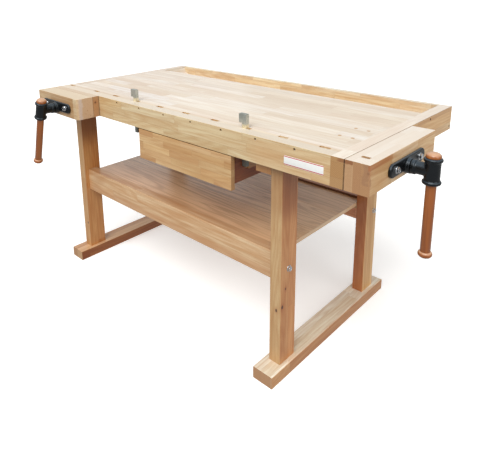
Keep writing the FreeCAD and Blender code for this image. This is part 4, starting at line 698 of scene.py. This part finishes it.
# the right front leg: painted shadow at its top under the top, deeper on its sides
plank("right_front_leg", "leg_rf", Z, Y, 0.042, 1.2, [HONEY, TAN], 17.0,
      tint=(1.04, 1.07, 1.17),
      faces=[(Y, -1, (1.03, 1.09, 1.06)), (X, 1, (0.868, 0.628, 0.47))],
      knots=[(on_bench(RIGHT_LEG_FACE, 58, 330), 0.004), (on_bench(RIGHT_LEG_FACE, 42, 268), 0.006),
             (on_bench(1283, 32, 252), 0.005)],
      patches=[patch((1255, 20, 640), (1310, 110, 800), RIGHT_LEG_SHADOW, 0.42, (2.0, 5.0, 90.0)),
               patch((1255, 40, 640), (1310, 110, 800), RIGHT_LEG_SIDE_SHADOW, 0.30, (2.0, 5.0, 90.0), Y)])
# the right rear leg tinted darker and redder, lifted back on three sides: painted shade on its front face
# under the bench
plank("right_rear_leg", "leg_rr", Z, Y, 0.042, 1.2, [TAN, HONEY], 18.0,
      tint=(0.808, 0.487, 0.366),
      faces=[(X, -1, (1.17, 1.6, 1.87)), (Y, 1, (1.26, 1.84, 2.1)), (X, 1, (1.4, 2.24, 2.78))])
# the left front leg: painted shadow on the upper part of its sides, under the top and the front jaw
plank("left_front_leg", "leg_lf", Z, Y, 0.042, 1.2, [TAN, AMBER], 19.0,
      tint=(0.795, 0.635, 0.53),
      faces=[(Y, 1, (1.1, 1.2, 1.2)), (X, -1, (1.15, 1.25, 1.3)), (X, 1, (1.34, 1.46, 1.39)),
             (Y, -1, (1.44, 1.89, 2.25))],
      knots=[(on_bench(100, 32, 170), 0.006)],
      patches=[patch((60, 20, 660), (130, 110, 800), LEFT_LEG_SHADOW, 0.70, (2.0, 5.0, 110.0), Y)])
plank("left_rear_leg", "leg_lr", Z, Y, 0.042, 1.2, [TAN, AMBER], 20.0)
plank("left_bearer", "bearer_l", Y, X, 0.031, 0.7, WARM_TONES, 21.0)
plank("right_bearer", "bearer_r", Y, X, 0.031, 0.7, WARM_TONES, 22.0, tint=(1.02, 0.94, 0.90))
plank("front_stretcher", "stretcher_f", X, Z, 0.052, 1.7, [HONEY, LIGHT], 23.0, figure=0.75, stripe=0.05,
      tint=(0.937, 0.912, 0.994),
      faces=[(Z, 1, (1.12, 1.06, 1.02))],
      patches=[patch((60, 40, 340), (1310, 60, 372), STRETCHER_LOW, 0.35, (4.0, 4.0, 14.0))])
# the rear stretcher: tinted lighter as painted light on its shaded inner face, the tint taken back on its
# rear face, and a painted shadow line above the shelf
plank("rear_stretcher", "stretcher_r", X, Z, 0.052, 1.7, [TAN, AMBER], 24.0, figure=0.5, stripe=-0.1,
      tint=(1.34, 1.08, 1.32),
      faces=[(Y, 1, (0.7, 0.8, 0.62))],
      patches=[patch((60, 600, 430), (1310, 641, 451), SHADOW_LINE, 0.8, (1.0, 1.0, 2.0), Z)])
plank("shelf_ledges", "ledges", X, Y, 0.03, 0.8, WARM_TONES, 25.0)
for number in (1, 2, 3):
    dress("shelf_board_%d" % number, shelf_wood("shelf_%d" % number, seed=number * 3.1))

# the drawer

plank("drawer_face", "drawer_front", X, Z, 0.027, 0.16, MID_TONES, 26.0, figure=0.4,
      tint=(0.822, 0.78, 0.714),
      faces=[(Y, -1, (1.04, 1.03, 1.03))])
# the drawer sides tinted dark red-brown: partly their own darker wood, partly painted shade from under the
# top
dress_all(("drawer_left_side", "drawer_right_side"),
          wood("drawer_sides", Y, Z, 0.049, 0.9, [TAN, AMBER], 27.0, coat=0.05, tint=(0.46, 0.24, 0.17)))
plank("drawer_back", "drawer_rear", X, Z, 0.043, 0.9, [TAN, HONEY], 28.0)
plank("drawer_bottom", "drawer_panel", X, Y, 0.13, 1.4, [LIGHT, HONEY], 29.0)
plank("drawer_runners", "runners", Y, Z, 0.06, 0.9, [TAN, AMBER], 30.0)

# castings, steel and handles

ZINC = (srgb(236, 238, 240), srgb(216, 220, 224))
BLACKENED = (srgb(22, 18, 16), srgb(12, 10, 9))
BRIGHT = (srgb(205, 206, 208), srgb(176, 178, 182))
DOG_STEEL = (srgb(206, 208, 200), srgb(182, 186, 178))
# the dogs' painted reflection: where it fades, where it is gone, and the cream of the wood it reflects
DOG_REFLECTION = (0.868, 0.877, srgb(250, 240, 208))
LEAN = math.radians(17.5)     # the front vise's handle stands off the vertical
FRONT_AXIS = (math.sin(LEAN), 0.0, math.cos(LEAN))
UPRIGHT = (0.0, 0.0, 1.0)

casting = cast_paint("black_casting")
dress_all(("front_vise_flange", "front_vise_hub", "front_vise_nut_plate",
           "end_vise_flange", "end_vise_hub", "end_vise_nut_plate"), casting)
zinc = steel("zinc_plate", *ZINC, rough=0.16, axis=X, brushed=0.4, grime=0.15)
dress_all(("stretcher_bolts", "barrel_nuts", "bearer_bolts", "lag_screws",
           "vise_nut_screws", "front_vise_flange_bolts", "end_vise_flange_bolts"), zinc)
dress("trim_screws", steel("black_screws", *BLACKENED, rough=0.6, axis=Y, brushed=0.4, grime=0.2))
bright_y = steel("bright_bar_y", *BRIGHT, rough=0.16, axis=Y, brushed=0.5, grime=0.15)
bright_x = steel("bright_bar_x", *BRIGHT, rough=0.16, axis=X, brushed=0.5, grime=0.15)
dress_all(("front_vise_guide_rods", "front_vise_screw"), bright_y)
dress_all(("end_vise_guide_rods", "end_vise_screw"), bright_x)
dog_metal = steel("dog_metal", *DOG_STEEL, rough=0.42, axis=Z, brushed=0.9, grime=0.2, reflection_band=DOG_REFLECTION)
dress_all(("left_dog", "right_dog", "left_dog_spring", "right_dog_spring"), dog_metal)
front_handle = turned_wood("front_handle_wood", FRONT_AXIS, seed=3.0)
end_handle = turned_wood("end_handle_wood", UPRIGHT, seed=8.0)
dress_all(("front_vise_handle", "front_vise_handle_knob"), front_handle)
dress_all(("end_vise_handle", "end_vise_handle_knob"), end_handle)

# ---------------------------------------------------------------- drawing of the hardware

MM = Matrix.Scale(0.001, 4)
LATHE_POINTS = 56
BOLT_POINTS = 48
THREAD_POINTS = 28
CREASE = 32.0                 # degrees, over which an edge stays sharp
HANDLE_CREASE = 40.0


def add_object(name, data):
    """Link new data to the scene as an object."""
    made = bpy.data.objects.new(name, data)
    bpy.context.scene.collection.objects.link(made)
    return made


def make_piece(name, bm, place, mat, body, stands_for, crease=CREASE):
    """Turn a bmesh drawn in millimetres on its own axes into a finished piece."""
    bmesh.ops.transform(bm, matrix=place @ MM, verts=bm.verts)
    bmesh.ops.recalc_face_normals(bm, faces=bm.faces)
    mesh = bpy.data.meshes.new(name)
    bm.to_mesh(mesh)
    bm.free()
    for polygon in mesh.polygons:
        polygon.use_smooth = True
    mesh.set_sharp_from_angle(angle=math.radians(crease))
    mesh.materials.append(mat)
    piece = add_object(name, mesh)
    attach(piece, body)
    if stands_for:
        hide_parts(*stands_for)


def add_rings(bm, rings):
    """Skin rings of points that all have the same count, and close both ends."""
    verts = [[bm.verts.new(point) for point in ring] for ring in rings]
    count = len(rings[0])
    for low_ring, high_ring in zip(verts, verts[1:]):
        for i in range(count):
            j = (i + 1) % count
            bm.faces.new((low_ring[i], low_ring[j], high_ring[j], high_ring[i]))
    bm.faces.new(list(reversed(verts[0])))
    bm.faces.new(verts[-1])


def turned(bm, outline, axis, centre=(0.0, 0.0, 0.0)):
    """Lathe an outline of (place along the axis, radius) pairs, around X or Z."""
    rings = []
    for along, radius in outline:
        ring = []
        for i in range(LATHE_POINTS):
            a = 2 * math.pi * i / LATHE_POINTS
            c, s = radius * math.cos(a), radius * math.sin(a)
            ring.append((along, c, s) if axis == X else (c, s, along))
        rings.append([tuple(p + q for p, q in zip(point, centre)) for point in ring])
    add_rings(bm, rings)


# sizes of a hexagon bolt, in millimetres: the washer's outline as (height, radius), then the rest
WASHER = [(0.0, 5.6), (0.0, 10.7), (0.35, 11.0), (1.4, 11.0), (1.8, 10.6), (1.8, 5.6)]
HEAD_SEAT = 1.8
HEAD_TOP = 8.3
HALF_ACROSS_FLATS = 8.0
HEAD_BEVEL = 0.4
HEAD_EASE = 0.1
CHAMFER_RADIUS = 7.5
CHAMFER_SLOPE = 0.58
DISH_RADIUS = 6.4
SHANK_RADIUS = 5.0
SHANK_TIP_LENGTH = 1.2
SHANK_TIP_RADIUS = 4.2


def hex_bolt(bm, face, centre, out, length):
    """Washer, chamfered hexagon head and shank. The head points along local X times out."""
    centre_y, centre_z = centre
    angles = [2 * math.pi * i / BOLT_POINTS for i in range(BOLT_POINTS)]

    def point(height, radius, a):
        return (face + out * height, centre_y + radius * math.cos(a), centre_z + radius * math.sin(a))

    def circle(height, radius):
        return [point(height, radius, a) for a in angles]

    def flats(a):
        turn = (a + math.pi / 6) % (math.pi / 3) - math.pi / 6
        return HALF_ACROSS_FLATS / math.cos(turn)

    def chamfer(a):
        return HEAD_TOP - (flats(a) - CHAMFER_RADIUS) * CHAMFER_SLOPE

    add_rings(bm, [circle(height, radius) for height, radius in WASHER])
    add_rings(bm, [circle(HEAD_SEAT, HALF_ACROSS_FLATS - HEAD_BEVEL),
                   [point(HEAD_SEAT + HEAD_BEVEL, flats(a) - HEAD_EASE, a) for a in angles],
                   [point(chamfer(a), flats(a), a) for a in angles],
                   circle(HEAD_TOP, CHAMFER_RADIUS),
                   circle(HEAD_TOP, DISH_RADIUS),
                   circle(HEAD_TOP - HEAD_BEVEL, DISH_RADIUS - HEAD_BEVEL)])
    add_rings(bm, [circle(-length, SHANK_TIP_RADIUS),
                   circle(-length + SHANK_TIP_LENGTH, SHANK_RADIUS),
                   circle(HEAD_SEAT, SHANK_RADIUS)])


THREAD_CAP_BEVEL = (0.8, 0.6)  # length and depth
THREAD_CAP_GAP = 0.02          # a cap stays this far under the thread's root


def threaded(bm, start, end, pitch, crest, root):
    """A trapezoid thread along local X, closed by a cap at each end."""
    profile = [(0.00, root), (0.18, root), (0.34, crest), (0.66, crest), (0.82, root)]
    steps = int((end - start - pitch) / pitch * THREAD_POINTS)
    columns = []
    for k in range(steps + 1):
        a = 2 * math.pi * k / THREAD_POINTS
        base = start + pitch * k / THREAD_POINTS
        columns.append([bm.verts.new((base + pitch * f, r * math.cos(a), r * math.sin(a)))
                        for f, r in profile])
    for k in range(steps):
        here, after = columns[k], columns[k + 1]
        for j in range(len(profile) - 1):
            bm.faces.new((here[j], after[j], after[j + 1], here[j + 1]))
        if k + THREAD_POINTS < steps:
            turn_here, turn_after = columns[k + THREAD_POINTS], columns[k + THREAD_POINTS + 1]
            bm.faces.new((here[-1], after[-1], turn_after[0], turn_here[0]))
    bevel_length, bevel_depth = THREAD_CAP_BEVEL
    cap = root - THREAD_CAP_GAP
    for place in (start, end - pitch):
        turned(bm, [(place, root - bevel_depth), (place + bevel_length, cap), (place + pitch, cap)], X)


FILLET_VOXEL = 0.0013
FILLET_ROUNDS = 7


def cast_piece(name, source, body):
    """Copy a CAD casting and melt its corners into cast fillets."""
    piece = add_object(name + "_raw", nodes[source].data.copy())
    remesh = piece.modifiers.new("remesh", "REMESH")
    remesh.mode = "VOXEL"
    remesh.voxel_size = FILLET_VOXEL
    smooth = piece.modifiers.new("smooth", "SMOOTH")
    smooth.factor = 0.5
    smooth.iterations = FILLET_ROUNDS
    graph = bpy.context.evaluated_depsgraph_get()
    graph.update()
    mesh = bpy.data.meshes.new_from_object(piece.evaluated_get(graph))
    old = piece.data
    bpy.data.objects.remove(piece)
    bpy.data.meshes.remove(old)
    mesh.name = name
    mesh.materials.clear()
    mesh.materials.append(casting)
    for polygon in mesh.polygons:
        polygon.use_smooth = True
        polygon.material_index = 0
    final = add_object(name, mesh)
    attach(final, body)
    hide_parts(source)


# ---------------------------------------------------------------- vise hardware

# A vise's own axes, in millimetres: X points out of the jaw's outer face, along the screw.
SCREW_HEIGHT = WORKING_HEIGHT - 57.0
END_SCREW_Y = 218.5
FRONT_SCREW_X = 163.0
END_VISE = Matrix.Translation(on_bench(END_JAW_FACE, END_SCREW_Y, SCREW_HEIGHT))
FRONT_VISE = (Matrix.Translation(on_bench(FRONT_SCREW_X, FRONT_JAW_FACE, SCREW_HEIGHT))
              @ Matrix.Rotation(math.radians(-90), 4, "Z"))
FRONT_SPIN = FRONT_VISE @ Matrix.Rotation(-LEAN, 4, "X")

FLANGE_FACE = 9.0
FLANGE_BOLT_REACH = 77.0
FLANGE_BOLT_RISE = 7.5
FLANGE_BOLT_LENGTH = 45.0
THREAD_START = -330.0
THREAD_END = -10.0
THREAD_PITCH = 5.0
THREAD_CREST = 11.0
THREAD_ROOT = 8.9
HUB_CENTRE = (78.0, 0.0, 0.0)

# outlines as (place along the axis, radius): the screw's plain end with its collar, then the handle
SCREW_COLLAR = [(-11.5, 8.6), (-10.5, 11.0), (-6.5, 11.0), (-6.3, 16.6), (-5.9, 17.0), (-0.7, 17.0),
                (-0.3, 16.6), (0.0, 11.0), (58.0, 11.0), (58.3, 10.6)]
HANDLE_BAR = [(-255.0, 9.0), (-252.5, 12.2), (-250.9, 14.2), (-249.5, 14.8), (-120.0, 14.8),
              (38.5, 14.8)]
HANDLE_HEAD = [(38.8, 15.0), (39.3, 19.5), (40.0, 20.9), (41.5, 21.5), (43.5, 21.45), (46.0, 21.0),
               (48.4, 19.9), (50.6, 18.1), (52.6, 15.3), (54.0, 11.6), (54.9, 7.0), (55.3, 2.5)]
HANDLE_KNOB = [(-270.6, 2.0), (-270.2, 7.5), (-269.0, 12.0), (-267.0, 15.8), (-264.4, 18.5),
               (-261.6, 20.0), (-258.8, 20.5), (-256.0, 20.2), (-253.6, 19.2), (-252.0, 17.6),
               (-251.2, 16.2), (-250.8, 14.0)]


def vise_pieces(side, fixed, spun, metal, handle_wood):
    """The finished hardware of one vise. spun also carries the turn of its screw at rest."""
    jaw, screw, handle = side + "_jaw", side + "_screw", side + "_handle"
    cast_piece(side + "_flange_cast", side + "_flange", jaw)
    cast_piece(side + "_hub_cast", side + "_hub", screw)

    bm = bmesh.new()
    for y in (-FLANGE_BOLT_REACH, FLANGE_BOLT_REACH):
        hex_bolt(bm, FLANGE_FACE, (y, FLANGE_BOLT_RISE), 1.0, FLANGE_BOLT_LENGTH)
    make_piece(side + "_bolts", bm, fixed, zinc, jaw, [side + "_flange_bolts"])

    bm = bmesh.new()
    threaded(bm, THREAD_START, THREAD_END, THREAD_PITCH, THREAD_CREST, THREAD_ROOT)
    turned(bm, SCREW_COLLAR, X)
    make_piece(side + "_thread", bm, spun, metal, screw, [side + "_screw"])

    bm = bmesh.new()
    turned(bm, HANDLE_BAR, Z, HUB_CENTRE)
    turned(bm, HANDLE_HEAD, Z, HUB_CENTRE)
    make_piece(side + "_turned_bar", bm, spun, handle_wood, handle, [side + "_handle"], HANDLE_CREASE)
    bm = bmesh.new()
    turned(bm, HANDLE_KNOB, Z, HUB_CENTRE)
    make_piece(side + "_turned_knob", bm, spun, handle_wood, handle, [side + "_handle_knob"],
               HANDLE_CREASE)


vise_pieces("front_vise", FRONT_VISE, FRONT_SPIN, bright_y, front_handle)
vise_pieces("end_vise", END_VISE, END_VISE, bright_x, end_handle)

# ---------------------------------------------------------------- stretcher bolts, blank plate

BENCH = Matrix.Translation(on_bench(0.0, 0.0, 0.0))
STRETCHER_BOLTS_Y = (74.0, 663.0)
STRETCHER_BOLT_HEIGHT = 400.5
STRETCHER_BOLT_LENGTH = 112.0

bm = bmesh.new()
for bolt_y in STRETCHER_BOLTS_Y:
    for face, out in ((LEFT_LEG_FACE, -1.0), (RIGHT_LEG_FACE, 1.0)):
        hex_bolt(bm, face, (bolt_y, STRETCHER_BOLT_HEIGHT), out, STRETCHER_BOLT_LENGTH)
make_piece("stretcher_bolt_set", bm, BENCH, zinc, "bench", ["stretcher_bolts"])

# the plate's box on the bench's own axes, then its round corners and its front bevel
PLATE_LOW = (1328.0, -0.45, 795.0)
PLATE_HIGH = (1466.0, 0.35, 824.0)
PLATE_CORNER = 2.2
PLATE_BEVEL = 0.2


def blank_plate():
    """The plate on the apron, with round corners and a bevelled front edge."""
    bm = bmesh.new()
    bmesh.ops.create_cube(bm, size=1.0)
    for vert in bm.verts:
        corners = zip(PLATE_LOW, PLATE_HIGH, vert.co)
        vert.co = Vector([low + (c + 0.5) * (high - low) for low, high, c in corners])
    through = [edge for edge in bm.edges if abs(edge.verts[0].co.y - edge.verts[1].co.y) > 0.1]
    bmesh.ops.bevel(bm, geom=through, offset=PLATE_CORNER, segments=5, profile=0.5, affect="EDGES")
    front = [edge for edge in bm.edges if all(v.co.y < 0 for v in edge.verts)]
    bmesh.ops.bevel(bm, geom=front, offset=PLATE_BEVEL, segments=2, profile=0.5, affect="EDGES")
    paint = plate_paint("blank_plate_paint", on_bench(*PLATE_LOW), on_bench(*PLATE_HIGH))
    make_piece("blank_plate", bm, BENCH, paint, "bench", None)


blank_plate()

# ---------------------------------------------------------------- floor, light, camera

FLOOR_HALF = 160.0
FLOOR_GLOW = 0.30
SKY_STRENGTH = 0.46


def add_floor():
    """A pale floor that glows a little and throws no light back on the bench."""
    mesh = bpy.data.meshes.new("floor")
    bm = bmesh.new()
    bmesh.ops.create_grid(bm, x_segments=8, y_segments=8, size=FLOOR_HALF)
    bm.to_mesh(mesh)
    bm.free()
    floor = add_object("floor", mesh)
    t = Tree("floor_paper")
    speck = t.noise(t.place(), scale=6.0, detail=2.0)
    t.shader.inputs["Emission Color"].default_value = WHITE
    t.shader.inputs["Emission Strength"].default_value = FLOOR_GLOW
    paper = t.mix(speck, srgb(246, 246, 245), srgb(249, 249, 248))
    mesh.materials.append(t.finish(paper, 0.9, specular=0.1))
    floor.visible_diffuse = False
    floor.visible_glossy = False


add_floor()

world = bpy.data.worlds.new("studio")
world.use_nodes = True
world.node_tree.nodes["Background"].inputs[0].default_value = WHITE
world.node_tree.nodes["Background"].inputs[1].default_value = SKY_STRENGTH
bpy.context.scene.world = world
bpy.context.scene.view_settings.view_transform = "Standard"


def area_light(name, at, target, size, watts, colour):
    """A square soft light aimed at a point."""
    data = bpy.data.lights.new(name, "AREA")
    data.shape = "SQUARE"
    data.size = size
    data.energy = watts
    data.color = colour
    light = add_object(name, data)
    direction = Vector(target) - Vector(at)
    light.matrix_world = Matrix.Translation(at) @ direction.to_track_quat("-Z", "Y").to_matrix().to_4x4()
    return light


def sun_light(name, towards, strength, angle):
    """A distant soft light, so the floor is lit evenly."""
    data = bpy.data.lights.new(name, "SUN")
    data.energy = strength
    data.angle = math.radians(angle)
    light = add_object(name, data)
    light.rotation_euler = Vector(towards).to_track_quat("-Z", "Y").to_euler()


sun_light("key", (-0.15, 0.62, -0.77), 2.55, 50.0)
sun_light("side", (-0.90, 0.15, -0.42), 0.80, 40.0)
panel = area_light("panel", at=(-3.6, 2.3, 1.75), target=(0.0, 0.0, 0.9), size=2.6, watts=6.0,
                   colour=(0.96, 0.98, 1.0))
panel.visible_diffuse = False

camera_data = bpy.data.cameras.new("camera")
camera_data.sensor_width = 36.0
camera_data.sensor_fit = "HORIZONTAL"
camera_data.lens = 35.892
camera_data.shift_x = 0.06004
camera_data.shift_y = -0.23690
camera_data.clip_end = 600.0
camera = add_object("camera", camera_data)
camera.location = (1.320427, -1.431216, 1.325328)
camera.rotation_euler = (1.328225, 0.014361, 0.767762)
bpy.context.scene.camera = camera
